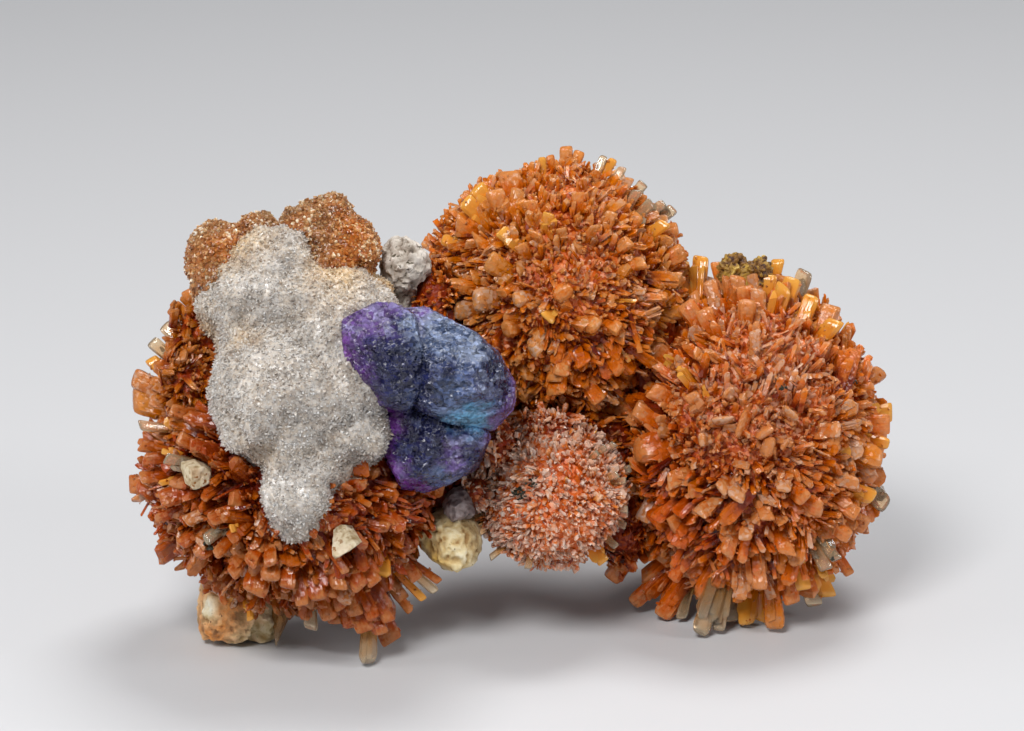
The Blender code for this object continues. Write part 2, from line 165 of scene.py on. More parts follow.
# ---- many small meshes in one ---------------------------------------------------------------------------------
class Heap:
    """Closed shapes gathered into one mesh. Each vertex carries along, 0 at a crystal's root and 1 at its tip; tone,
    hue and dust, which are the same all over one crystal; and its place within the crystal, for growth lines."""

    def __init__(self):
        self.v, self.q, self.t, self.a, self.p, self.n, self.faces = [], [], [], [], [], 0, 0

    def add(self, v, quads, tris, along, tone, hue, dust=0.0, place=None):
        self.v.append(v)
        self.q.append(np.asarray(quads, dtype=np.int64).reshape(-1, 4) + self.n)
        self.t.append(np.asarray(tris, dtype=np.int64).reshape(-1, 3) + self.n)
        self.a.append(np.stack([np.broadcast_to(x, (len(v),)) for x in (along, tone, hue, dust)], -1))
        self.p.append(v if place is None else place)
        self.n += len(v)
        self.faces += 2 * len(self.q[-1]) + len(self.t[-1])

    def many(self, local, frame, quads, tris, along, look):
        """Copies of one template: local is (N, m, 3) in each crystal's own directions."""
        base, x, y, axis = frame
        count, m, _ = local.shape
        v = base[:, None] + local[..., :1] * x[:, None] + local[..., 1:2] * y[:, None] + local[..., 2:] * axis[:, None]
        off = (np.arange(count) * m)[:, None, None]
        quads, tris = np.asarray(quads).reshape(-1, 4), np.asarray(tris).reshape(-1, 3)
        tone, hue, dust = (np.repeat(k, m) for k in look)
        own = local + (np.arange(count) * 3.7 % 61)[:, None, None]
        self.add(v.reshape(-1, 3), (quads[None] + off).reshape(-1, 4), (tris[None] + off).reshape(-1, 3),
                 along.ravel(), tone, hue, dust, own.reshape(-1, 3))


def unit(v):
    return v / np.maximum(np.linalg.norm(v, axis=-1, keepdims=True), 1e-12)


def frames(axis, roll):
    """Two directions square to each axis, turned by roll."""
    ref = np.where(np.abs(axis[:, 2:3]) > 0.9, np.array([[1.0, 0, 0]]), np.array([[0, 0, 1.0]]))
    x = unit(np.cross(ref, axis))
    y = np.cross(axis, x)
    c, s = np.cos(roll)[:, None], np.sin(roll)[:, None]
    return x * c + y * s, y * c - x * s


def strips(n):
    """Quads and a triangle that close a ring of n corners, without fans."""
    faces, lo, hi = [], 0, n - 1
    while hi - lo >= 3:
        faces.append((lo, lo + 1, hi - 1, hi))
        lo, hi = lo + 1, hi - 1
    if hi - lo == 2:
        faces.append((lo, lo + 1, hi))
    return faces


def lathe(rings, n):
    """Quads and triangles of a closed tube of rings, each of n corners."""
    k = np.arange(n)
    quads = [np.stack([i * n + k, i * n + (k + 1) % n, (i + 1) * n + (k + 1) % n, (i + 1) * n + k], -1) for i in range(rings - 1)]
    quads, tris = [tuple(f) for f in np.concatenate(quads)], []
    for face in strips(n):
        for f in (face[::-1], tuple(j + (rings - 1) * n for j in face)):
            (quads if len(f) == 4 else tris).append(f)
    return quads, tris


SLAB_QUADS = [(k, (k + 1) % 8, (k + 1) % 8 + 8, k + 8) for k in range(8)]
SLAB_QUADS += [(3, 2, 1, 0), (7, 4, 3, 0), (7, 6, 5, 4)]
SLAB_QUADS += [(9, 10, 17, 16), (15, 8, 16, 19), (13, 14, 19, 18), (11, 12, 18, 17), (16, 17, 18, 19)]
SLAB_TRIS = [(8, 9, 16), (14, 15, 19), (12, 13, 18), (10, 11, 17)]


def slabs(heap, base, axis, roll, length, a, b, rng, look, root=0.0, blunt=None, taper=None):
    """Flat eight-sided prisms whose ends are cut by sloping faces, down to a chisel edge: 36 triangles each."""
    n = len(base)
    if n == 0:
        return
    c, s = a * rng.uniform(0.55, 0.86, n), b * rng.uniform(0.15, 0.6, n)
    px = np.stack([a, c, -c, -a, -a, -c, c, a], -1)
    py = np.stack([s, b, b, s, -s, -b, -b, -s], -1)
    blunt = rng.uniform(0.0, 1.0, n) if blunt is None else blunt
    e, f = a * (0.12 + 0.62 * blunt), b * (0.04 + 0.70 * blunt * rng.uniform(0.2, 1, n))
    ox, oy = a * rng.normal(0, 0.16, n), b * rng.normal(0, 0.14, n)
    kx, ky = rng.uniform(0.15, 1.3, n), rng.uniform(0.5, 1.9, n)
    lean = rng.normal(0, 0.28, n)
    rx, ry = np.stack([e, -e, -e, e], -1) + ox[:, None], np.stack([f, f, -f, -f], -1) + oy[:, None]
    rz = length[:, None] + lean[:, None] * rx
    sz = length[:, None] - kx[:, None] * np.maximum(np.abs(px - ox[:, None]) - e[:, None], 0)
    sz = sz - ky[:, None] * np.maximum(np.abs(py - oy[:, None]) - f[:, None], 0) + lean[:, None] * px
    sz = np.clip(sz, 0.3 * length[:, None], rz.min(1)[:, None] - 0.02)
    t = rng.uniform(0.62, 0.95, n) if taper is None else taper
    local = np.concatenate([
        np.stack([px * t[:, None], py * t[:, None], np.zeros((n, 8))], -1),
        np.stack([px, py, sz], -1), np.stack([rx, ry, rz], -1)], 1)
    along = root + (1 - root) * np.clip(local[..., 2] / length[:, None], 0, 1)
    x, y = frames(axis, roll)
    heap.many(local, (base, x, y, axis), SLAB_QUADS, SLAB_TRIS, along, look)


BLADE_QUADS = [(k, (k + 1) % 4, (k + 1) % 4 + 4, k + 4) for k in range(4)] + [(3, 2, 1, 0), (4, 5, 9, 8), (6, 7, 8, 9)]
BLADE_TRIS = [(7, 4, 8), (5, 6, 9)]


def blades(heap, base, axis, roll, length, a, b, rng, look, root=0.0):
    """Small flat prisms that end in a short edge: 16 triangles each."""
    n = len(base)
    if n == 0:
        return
    px, py = np.stack([a, -a, -a, a], -1), np.stack([b, b, -b, -b], -1)
    e = a * rng.uniform(0.05, 0.75, n)
    rx = np.stack([e, -e], -1) + (a * rng.normal(0, 0.15, n))[:, None]
    ry = np.repeat((b * rng.normal(0, 0.3, n))[:, None], 2, 1)
    lean = rng.normal(0, 0.35, n)[:, None]
    rz = length[:, None] + lean * rx
    drop = a * rng.uniform(0.10, 0.85, n) + b * rng.uniform(0.3, 1.2, n)
    sz = length[:, None] - drop[:, None] + lean * px + rng.normal(0, 0.12, (n, 4)) * a[:, None]
    sz = np.clip(sz, 0.3 * length[:, None], np.maximum(rz.min(1)[:, None] - 0.02, 0.31 * length[:, None]))
    t = rng.uniform(0.6, 0.95, n)[:, None]
    local = np.concatenate([np.stack([px * t, py * t, np.zeros((n, 4))], -1), np.stack([px, py, sz], -1), np.stack([rx, ry, rz], -1)], 1)
    along = root + (1 - root) * np.clip(local[..., 2] / length[:, None], 0, 1)
    x, y = frames(axis, roll)
    heap.many(local, (base, x, y, axis), BLADE_QUADS, BLADE_TRIS, along, look)


def fingers(heap, base, axis, roll, length, a, b, end, rng, look, n=10, square=3.4, root=0.0, mids=1):
    """Stout flat prisms: end is 0 for a chisel edge and 1 for a rounded tip. About 140 triangles each."""
    m = len(base)
    if m == 0:
        return
    th = (np.arange(n) + 0.5) / n * 2 * math.pi
    ct, st = np.cos(th), np.sin(th)
    rad = (np.abs(ct) ** square + np.abs(st) ** square) ** (-1.0 / square)
    wob = 1 + rng.normal(0, 0.035, (m, n))
    cx, cy = ct * rad * a[:, None] * wob, st * rad * b[:, None] * wob
    end = np.broadcast_to(np.asarray(end, float), (m,))
    cap = np.minimum(a * (0.30 + 0.55 * end) + b * 0.5, 0.4 * length)
    tx, ty = 0.80 - 0.36 * end, 0.14 + 0.28 * end
    qx, qy = 3.6 - 1.5 * end, 1.2 + 0.8 * end
    lean, nod = rng.normal(0, 0.22, m), rng.normal(0, 0.18, m)
    rings = []
    for k in range(mids + 1):
        t = k / (mids + 1)
        size = (0.72 + 0.27 * t) * (1 + rng.normal(0, 0.02, m))
        rings.append(np.stack([cx * size[:, None], cy * size[:, None], np.repeat(((length - cap) * t)[:, None], n, 1)], -1))
    for up in (0.0, 0.40, 0.70, 0.90, 1.0):
        sx = tx + (1 - tx) * (1 - up**qx) ** (1 / qx)
        sy = ty + (1 - ty) * (1 - up**qy) ** (1 / qy)
        fx, fy = cx * sx[:, None], cy * sy[:, None]
        z = (length - cap + cap * up)[:, None] + lean[:, None] * fx + nod[:, None] * fy
        rings.append(np.stack([fx, fy, z], -1))
    local = np.concatenate(rings, 1)
    along = root + (1 - root) * np.clip(local[..., 2] / length[:, None], 0, 1)
    quads, tris = lathe(len(rings), n)
    x, y = frames(axis, roll)
    heap.many(local, (base, x, y, axis), quads, tris, along, look)


def grains(heap, base, axis, roll, length, r, rng, look, n=5, root=0.0, sharp=0.9):
    """Small pointed prisms."""
    m = len(base)
    if m == 0:
        return
    th = np.arange(n) / n * 2 * math.pi
    wob = 1 + rng.normal(0, 0.13, (m, n))
    cx, cy = np.cos(th)[None] * r[:, None] * wob, np.sin(th)[None] * r[:, None] * wob
    point = np.minimum(r * sharp * rng.uniform(0.6, 1.9, m), length * 0.6)
    z1 = (length - point)[:, None] + rng.normal(0, 0.15, (m, n)) * r[:, None]
    tip = np.stack([rng.normal(0, 0.25, m) * r, rng.normal(0, 0.25, m) * r, length], -1)[:, None]
    local = np.concatenate([np.stack([cx * 0.85, cy * 0.85, np.zeros((m, n))], -1), np.stack([cx, cy, z1], -1), tip], 1)
    along = root + (1 - root) * np.clip(local[..., 2] / length[:, None], 0, 1)
    k = np.arange(n)
    quads = [tuple(f) for f in np.stack([k, (k + 1) % n, (k + 1) % n + n, k + n], -1)]
    tris = [tuple(f) for f in np.stack([n + k, n + (k + 1) % n, np.full(n, 2 * n)], -1)]
    for face in strips(n):
        (quads if len(face) == 4 else tris).append(face[::-1])
    x, y = frames(axis, roll)
    heap.many(local, (base, x, y, axis), quads, tris, along, look)


def sheaves(heap, tip, axis, roll, length, a, b, parts, rng, look, root=0.0, main=True, spread=0.05):
    """Flat crystals grown together side by side, of unlike lengths: parts of them for each tip."""
    n = len(tip)
    if n == 0:
        return
    rep = np.repeat(np.arange(n), parts)
    first = np.r_[True, rep[1:] != rep[:-1]] & main
    k = len(rep)
    x, y = frames(axis, roll)
    ar, br, lr = a[rep], b[rep], length[rep]
    u = np.where(first, 0, rng.uniform(-0.78, 0.78, k)) * ar
    w = np.where(first, 0, rng.uniform(-0.75, 0.75, k)) * br
    a2 = np.where(first, 0.80, rng.uniform(0.22, 0.60, k)) * ar
    b2 = np.where(first, 0.85, rng.uniform(0.45, 1.0, k)) * br
    short = np.where(first, 0, rng.uniform(0.02, 0.26, k) * lr + 0.3 * np.abs(u))
    ax = unit(axis[rep] + np.where(first[:, None], 0, rng.normal(0, spread, (k, 3))))
    base = tip[rep] - axis[rep] * lr[:, None] + x[rep] * u[:, None] + y[rep] * w[:, None]
    tone = np.clip(look[0][rep] + np.where(first, 0, rng.normal(0, 0.10, k)), 0, 1)
    rolls, tall = roll[rep] + rng.normal(0, 0.10, k), lr - short
    for shape, pick in ((slabs, first), (blades, ~first)):
        shape(heap, base[pick], ax[pick], rolls[pick], tall[pick], a2[pick], b2[pick], rng, (tone[pick], look[1][rep][pick], look[2][rep][pick]), root=root)


def dusting(heap, tip, axis, roll, length, a, b, count, rng, look, size=1.0):
    """Sugar-fine crystals on the sides of larger ones, thickest towards the root."""
    rep = np.repeat(np.arange(len(tip)), count)
    k = len(rep)
    if k == 0:
        return
    x, y = frames(axis, roll)
    th = rng.uniform(0, 2 * math.pi, k)
    rad = (np.abs(np.cos(th)) ** 3 + np.abs(np.sin(th)) ** 3) ** (-1 / 3)
    out = np.cos(th)[:, None] * x[rep] * b[rep][:, None] + np.sin(th)[:, None] * y[rep] * a[rep][:, None]
    side = (np.cos(th) * rad * a[rep] * 0.86)[:, None] * x[rep] + (np.sin(th) * rad * b[rep] * 0.86)[:, None] * y[rep]
    down = rng.uniform(0.05, 1.0, k) ** 0.8 * 0.55 * length[rep]
    base = tip[rep] - axis[rep] * down[:, None] + side
    ax = unit(unit(out) + axis[rep] * rng.uniform(0.1, 1.1, k)[:, None] + rng.normal(0, 0.4, (k, 3)))
    r = size * rng.uniform(0.07, 0.17, k)
    grains(heap, base - ax * r[:, None], ax, rng.uniform(0, 6.28, k), r * rng.uniform(2.0, 3.8, k), r, rng,
           (np.clip(look[0][rep] + rng.normal(0.15, 0.2, k), 0, 1), look[1][rep], np.clip(look[2][rep] + rng.uniform(0.1, 0.6, k), 0, 1)), n=3, root=0.5)


def make(heap, name, material, smooth_angle=None):
    """The heap as an object, in metres and in the row frame. Nothing goes below the ground."""
    v = np.concatenate(heap.v)
    v[:, 2] = np.maximum(v[:, 2], 0.02)
    v = (v + SHIFT) * 0.001
    q, t = np.concatenate(heap.q), np.concatenate(heap.t)
    mesh = bpy.data.meshes.new(name)
    mesh.vertices.add(len(v))
    mesh.vertices.foreach_set("co", v.astype(np.float32).ravel())
    mesh.loops.add(4 * len(q) + 3 * len(t))
    mesh.loops.foreach_set("vertex_index", np.concatenate([q.ravel(), t.ravel()]).astype(np.int32))
    mesh.polygons.add(len(q) + len(t))
    starts = np.concatenate([np.arange(len(q)) * 4, 4 * len(q) + np.arange(len(t)) * 3]).astype(np.int32)
    mesh.polygons.foreach_set("loop_start", starts)
    mesh.update(calc_edges=True)
    a = np.concatenate(heap.a).astype(np.float32)
    for k, key in enumerate(("along", "tone", "hue", "dust")):
        mesh.attributes.new(key, "FLOAT", "POINT").data.foreach_set("value", np.ascontiguousarray(a[:, k]))
    mesh.attributes.new("own", "FLOAT_VECTOR", "POINT").data.foreach_set("vector", np.concatenate(heap.p).astype(np.float32).ravel())
    if smooth_angle:
        mesh.shade_smooth()
        mesh.set_sharp_from_angle(angle=math.radians(smooth_angle))
    else:
        mesh.shade_flat()
    obj = bpy.data.objects.new(name, mesh)
    bpy.context.scene.collection.objects.link(obj)
    mesh.materials.append(material)
    return obj


def icosphere(level):
    import bmesh
    bm = bmesh.new()
    bmesh.ops.create_icosphere(bm, subdivisions=level, radius=1.0)
    d = unit(np.array([v.co[:] for v in bm.verts]))
    faces = np.array([[v.index for v in f.verts] for f in bm.faces])
    bm.free()
    return d, faces


ICO = {k: icosphere(k) for k in (1, 2, 4, 5)}


def merged(parts, voxel):
    """One closed surface of quads round all the parts, each (vertices, faces) in layout millimetres."""
    verts, faces, n = [], [], 0
    for v, f in parts:
        verts += v.tolist()
        faces += [[i + n for i in face] for face in f]
        n += len(v)
    mesh = bpy.data.meshes.new("merging")
    mesh.from_pydata(verts, [], faces)
    obj = bpy.data.objects.new("merging", mesh)
    bpy.context.scene.collection.objects.link(obj)
    mod = obj.modifiers.new("merge", "REMESH")
    mod.mode, mod.voxel_size = "VOXEL", voxel
    out = bpy.data.meshes.new_from_object(obj.evaluated_get(bpy.context.evaluated_depsgraph_get()))
    v = np.zeros(len(out.vertices) * 3, np.float32)
    out.vertices.foreach_get("co", v)
    q = np.zeros(len(out.loops), np.int32)
    out.loops.foreach_get("vertex_index", q)
    whole = len(out.loops) == 4 * len(out.polygons)
    assert whole
    bpy.data.objects.remove(obj)
    bpy.data.meshes.remove(mesh)
    bpy.data.meshes.remove(out)
    return v.reshape(-1, 3).astype(float), q.reshape(-1, 4).astype(np.int64)


def ellipsoids(specs, grow=0.0, level=4):
    d, faces = ICO[level]
    return [(in_view(*s[:3]) + d * (np.array(s[3:]) + grow), faces.tolist()) for s in specs]


def summed(index, values, n):
    return np.stack([np.bincount(index, values[:, k], n) for k in range(3)], -1)


def relax(v, q, times, keep=0.4):
    n = len(v)
    a, b = q.ravel(), np.roll(q, -1, 1).ravel()
    count = np.bincount(a, minlength=n) + np.bincount(b, minlength=n)
    for _ in range(times):
        v = keep * v + (1 - keep) * (summed(a, v[b], n) + summed(b, v[a], n)) / count[:, None]
    return v


def normals(v, q):
    fn = np.cross(v[q[:, 2]] - v[q[:, 0]], v[q[:, 3]] - v[q[:, 1]])
    return unit(summed(q.ravel(), np.repeat(fn, 4, 0), len(v)))


def on_surface(v, q, count, cell, rng):
    """Points spread over a surface at least roughly cell apart, with the normal there."""
    n = normals(v, q)
    area = np.linalg.norm(np.cross(v[q[:, 2]] - v[q[:, 0]], v[q[:, 3]] - v[q[:, 1]]), axis=1)
    face = rng.choice(len(q), count, p=area / area.sum())
    s, t = rng.uniform(0, 1, (2, count, 1))
    blend = lambda x: (1 - s) * (1 - t) * x[q[face, 0]] + s * (1 - t) * x[q[face, 1]] + s * t * x[q[face, 2]] + (1 - s) * t * x[q[face, 3]]
    p, pn = blend(v), unit(blend(n))
    key = np.floor(p / cell + rng.uniform(0, 1, 3)).astype(np.int64)
    _, first = np.unique(key @ np.array([1, 100003, 10000600009]), return_index=True)
    first.sort()
    return p[first], pn[first]


# ---- places ------------------------------------------------------------------------------------------------------
def fibonacci(n, rng, jitter=0.35):
    k = np.arange(n) + 0.5
    z = 1 - 2 * k / n
    a = math.pi * (1 + 5**0.5) * k
    r = np.sqrt(1 - z * z)
    d = np.stack([r * np.cos(a), r * np.sin(a), z], -1)
    return unit(d + rng.normal(0, jitter * math.sqrt(4 * math.pi / n), d.shape))


def depth_in(points, lumps, grow=0.0):
    """Below 1 where a point is inside one of the lumps."""
    best = np.full(len(points), 1e9)
    for across, down, depth, rx, ry, rz in lumps:
        c = in_view(across, down, depth)
        best = np.minimum(best, ((points - c) ** 2 / (np.array([rx, ry, rz]) + grow) ** 2).sum(-1))
    return best


HARD = QUARTZ + KNOB_LEFT + KNOB_RIGHT + CREAM + STAINED + CHIP_LEFT + CHIP_LOW + FLUORITE_SPACE + CHIP + OCHRE + GREY[:1]


def free(points, ball, grow=0.1, others=0.90):
    ok = (depth_in(points, HARD, grow) > 1) & (points[:, 2] > 0.12)
    for k in BALLS:
        if k != ball:
            ok &= (((points - CENTRE[k]) / (RADII[k] * others)) ** 2).sum(-1) > 1
    return ok


# ---- materials -------------------------------------------------------------------------------------------------
def principled(name):
    m = bpy.data.materials.new(name)
    m.use_nodes = True
    nt = m.node_tree
    return m, nt, nt.nodes["Principled BSDF"]


def node(nt, kind, **values):
    n = nt.nodes.new(kind)
    for k, v in values.items():
        setattr(n, k, v)
    return n


def attribute(nt, name, output="Fac"):
    return node(nt, "ShaderNodeAttribute", attribute_name=name).outputs[output]


def calc(nt, op, a, b=None, c=None, clamp=False):
    n = node(nt, "ShaderNodeMath", operation=op, use_clamp=clamp)
    for i, x in enumerate((a, b, c)):
        if x is None:
            continue
        if isinstance(x, (int, float)):
            n.inputs[i].default_value = x
        else:
            nt.links.new(x, n.inputs[i])
    return n.outputs[0]


def ramp(nt, fac, stops, interpolation="LINEAR"):
    n = node(nt, "ShaderNodeValToRGB")
    n.color_ramp.interpolation = interpolation
    els = n.color_ramp.elements
    while len(els) < len(stops):
        els.new(0.5)
    for e, (at, colour) in zip(els, stops):
        e.position = at
        e.color = (*colour, 1.0) if isinstance(colour, tuple) else (colour, colour, colour, 1.0)
    nt.links.new(fac, n.inputs["Fac"])
    return n.outputs["Color"]


def mix(nt, fac, a, b, blend="MIX"):
    n = node(nt, "ShaderNodeMix", data_type="RGBA", blend_type=blend)
    for sock, x in zip((n.inputs[0], n.inputs[6], n.inputs[7]), (fac, a, b)):
        if isinstance(x, (int, float)):
            sock.default_value = x
        elif isinstance(x, tuple):
            sock.default_value = (*x, 1.0)
        else:
            nt.links.new(x, sock)
    return n.outputs[2]


def noise_tex(nt, scale, detail=3.0, rough=0.55, vector=None, distortion=0.0):
    n = node(nt, "ShaderNodeTexNoise")
    n.inputs["Scale"].default_value = scale
    n.inputs["Detail"].default_value = detail
    n.inputs["Roughness"].default_value = rough
    n.inputs["Distortion"].default_value = distortion
    nt.links.new(vector or node(nt, "ShaderNodeTexCoord").outputs["Object"], n.inputs["Vector"])
    return n.outputs["Fac"]


def cells(nt, scale, feature="F1", vector=None):
    n = node(nt, "ShaderNodeTexVoronoi", feature=feature)
    n.inputs["Scale"].default_value = scale
    nt.links.new(vector or node(nt, "ShaderNodeTexCoord").outputs["Object"], n.inputs["Vector"])
    return n.outputs["Distance"]


def facets(nt, scale, vector=None):
    """Flat faces tilted every way: a height that slopes differently in each cell, and a random value for each cell."""
    vector = vector or node(nt, "ShaderNodeTexCoord").outputs["Object"]
    tex = node(nt, "ShaderNodeTexVoronoi")
    tex.inputs["Scale"].default_value = scale
    nt.links.new(vector, tex.inputs["Vector"])
    away = node(nt, "ShaderNodeVectorMath", operation="SUBTRACT")
    nt.links.new(vector, away.inputs[0])
    nt.links.new(tex.outputs["Position"], away.inputs[1])
    tilt = node(nt, "ShaderNodeVectorMath", operation="SUBTRACT")
    nt.links.new(tex.outputs["Color"], tilt.inputs[0])
    tilt.inputs[1].default_value = (0.5, 0.5, 0.5)
    dot = node(nt, "ShaderNodeVectorMath", operation="DOT_PRODUCT")
    nt.links.new(away.outputs["Vector"], dot.inputs[0])
    nt.links.new(tilt.outputs["Vector"], dot.inputs[1])
    parts = node(nt, "ShaderNodeSeparateColor")
    nt.links.new(tex.outputs["Color"], parts.inputs["Color"])
    return calc(nt, "MULTIPLY", dot.outputs["Value"], float(scale)), parts.outputs["Red"]


def soft(sh, weight, radius, scale):
    sh.inputs["Subsurface Weight"].default_value = weight
    sh.inputs["Subsurface Radius"].default_value = radius
    sh.inputs["Subsurface Scale"].default_value = scale


def stretched(nt, vector, scale):
    n = node(nt, "ShaderNodeMapping")
    n.inputs["Scale"].default_value = scale
    nt.links.new(vector, n.inputs["Vector"])
    return n.outputs["Vector"]


def bump(nt, shader, height, strength, distance):
    b = node(nt, "ShaderNodeBump")
    b.inputs["Strength"].default_value = strength
    b.inputs["Distance"].default_value = distance
    nt.links.new(height, b.inputs["Height"])
    nt.links.new(b.outputs["Normal"], shader.inputs["Normal"])


def blendc(a, b, t):
    return tuple((1 - t) * x + t * y for x, y in zip(a, b))


# Dark red-brown for the roots of the crystals and for the mass between them: painted shade in the crevices.
PAINTED_ROOT_SHADE = (0.19, 0.0115, 0.0008)


def creedite(name, orange, amber, peach, transmission=0.44, rough=0.10, facet=0.45, grit=0.35, chips=0.22):
    """Translucent prisms: orange or amber along the body, with sugary peach on the faces; the red-brown at the root is
    painted shade in the crevices, and the pale peach at the tip is painted glow and highlight.
    """
    m, nt, sh = principled(name)
    along, tone, hue, dust = (attribute(nt, k) for k in ("along", "tone", "hue", "dust"))
    own = attribute(nt, "own", "Vector")
    lines = noise_tex(nt, 1.0, 2.0, 0.6, vector=stretched(nt, own, (3.2, 3.2, 0.22)))
    cloud = noise_tex(nt, 900.0, 3.0)
    fine = noise_tex(nt, 3600.0, 3.0, 0.65)
    tilt, dice = facets(nt, 2600.0)
    place = calc(nt, "MULTIPLY_ADD", calc(nt, "SUBTRACT", cloud, 0.5), 0.60, along)
    place = calc(nt, "MULTIPLY_ADD", calc(nt, "SUBTRACT", tone, 0.5), 0.55, place)
    place = calc(nt, "MULTIPLY_ADD", calc(nt, "SUBTRACT", lines, 0.5), 0.35, place)
    place = calc(nt, "MULTIPLY_ADD", calc(nt, "SUBTRACT", dice, 0.5), 0.6 * chips, place)
    painted_tip_glow = blendc(orange, amber, 0.45)
    # Both ramps run from root to tip: the red-brown low end is painted shade in the crevices, the pale peach top end
    # painted glow and highlight on the tips.
    one = ramp(nt, place, [(0.26, PAINTED_ROOT_SHADE), (0.56, blendc(PAINTED_ROOT_SHADE, orange, 0.62)), (0.78, orange), (1.0, blendc(painted_tip_glow, peach, 0.50))])
    two = ramp(nt, place, [(0.22, blendc(PAINTED_ROOT_SHADE, orange, 0.25)), (0.52, blendc(orange, amber, 0.50)), (0.76, amber), (1.0, blendc(amber, peach, 0.52))])
    colour = mix(nt, hue, one, two)
    # sugar lies in patches of flat faces, thicker on dusty crystals and towards the tip
    sugar = calc(nt, "MULTIPLY_ADD", calc(nt, "SUBTRACT", calc(nt, "MULTIPLY_ADD", dice, chips, calc(nt, "MULTIPLY", cloud, 0.9)), 0.45 + chips / 2), 1.7,
                 calc(nt, "MULTIPLY_ADD", dust, 0.85, calc(nt, "MULTIPLY_ADD", along, 0.40, -0.52)))
    sugar = calc(nt, "MULTIPLY", calc(nt, "MAXIMUM", sugar, 0.0), 0.80, clamp=True)
    peachy = ramp(nt, calc(nt, "MULTIPLY_ADD", calc(nt, "SUBTRACT", dice, 0.5), 0.8, tone), [(0.10, blendc(orange, peach, 0.35)), (0.70, peach), (1.0, blendc(peach, (0.95, 0.80, 0.70), 0.55))])
    nt.links.new(mix(nt, sugar, colour, peachy), sh.inputs["Base Color"])
    nt.links.new(calc(nt, "MULTIPLY_ADD", fine, 0.28, rough - 0.10, clamp=True), sh.inputs["Roughness"])
    sh.inputs["IOR"].default_value = 1.46
    sh.inputs["Specular IOR Level"].default_value = 0.42
    sh.inputs["Transmission Weight"].default_value = transmission
    height = calc(nt, "MULTIPLY_ADD", lines, 0.8, calc(nt, "MULTIPLY_ADD", fine, grit, calc(nt, "MULTIPLY", tilt, 3.0 * facet)))
    bump(nt, sh, height, 0.8, 0.00013)
    return m


def clear(name, tint, pale, transmission=0.90, rough=0.05, ior=1.47):
    m, nt, sh = principled(name)
    along = attribute(nt, "along")
    own = attribute(nt, "own", "Vector")
    lines = noise_tex(nt, 1.0, 2.0, 0.6, vector=stretched(nt, own, (4.0, 4.0, 0.25)))
    cloud = noise_tex(nt, 900.0, 3.0)
    place = calc(nt, "MULTIPLY_ADD", calc(nt, "SUBTRACT", cloud, 0.5), 0.6, along)
    # Darker towards the root and pale at the tip: painted shade where the crystal goes into the crevices, painted glow
    # at the tip.
    colour = ramp(nt, place, [(0.15, blendc(PAINTED_ROOT_SHADE, tint, 0.6)), (0.55, tint), (1.0, pale)])
    nt.links.new(colour, sh.inputs["Base Color"])
    nt.links.new(calc(nt, "MULTIPLY_ADD", cloud, 0.14, rough - 0.04, clamp=True), sh.inputs["Roughness"])
    sh.inputs["IOR"].default_value = ior
    sh.inputs["Transmission Weight"].default_value = transmission
    bump(nt, sh, lines, 0.4, 0.00012)
    return m


def druse(name, stops, stained, sparkle=0.10, softness=0.5, edge=0.30):
    """Sugary crust: hue drives the stain, tone its lightness."""
    m, nt, sh = principled(name)
    along, tone, hue = (attribute(nt, k) for k in ("along", "tone", "hue"))
    cloud = noise_tex(nt, 260.0, 4.0)
    fine = noise_tex(nt, 2600.0, 3.0)
    tilt, dice = facets(nt, 3400.0)
    # along makes each point darker at its root than at its tip, by edge.
    place = calc(nt, "MULTIPLY_ADD", calc(nt, "SUBTRACT", cloud, 0.5), 0.9, calc(nt, "MULTIPLY_ADD", along, edge, calc(nt, "MULTIPLY", tone, 0.55)))
    place = calc(nt, "MULTIPLY_ADD", calc(nt, "SUBTRACT", dice, 0.5), 0.30, place)
    one = ramp(nt, place, stops)
    two = ramp(nt, place, stained)
    soil = calc(nt, "MULTIPLY_ADD", calc(nt, "SUBTRACT", fine, 0.5), 0.8, hue, clamp=True)
    nt.links.new(mix(nt, soil, one, two), sh.inputs["Base Color"])
    nt.links.new(calc(nt, "MULTIPLY_ADD", fine, 0.40, sparkle, clamp=True), sh.inputs["Roughness"])
    sh.inputs["IOR"].default_value = 1.54
    sh.inputs["Specular IOR Level"].default_value = 0.42
    soft(sh, softness, (1.0, 0.9, 0.8) if softness > 0.55 else (1.0, 0.6, 0.4), 0.0009)
    bump(nt, sh, calc(nt, "MULTIPLY_ADD", tilt, 2.2, fine), 0.6, 0.00010)
    return m


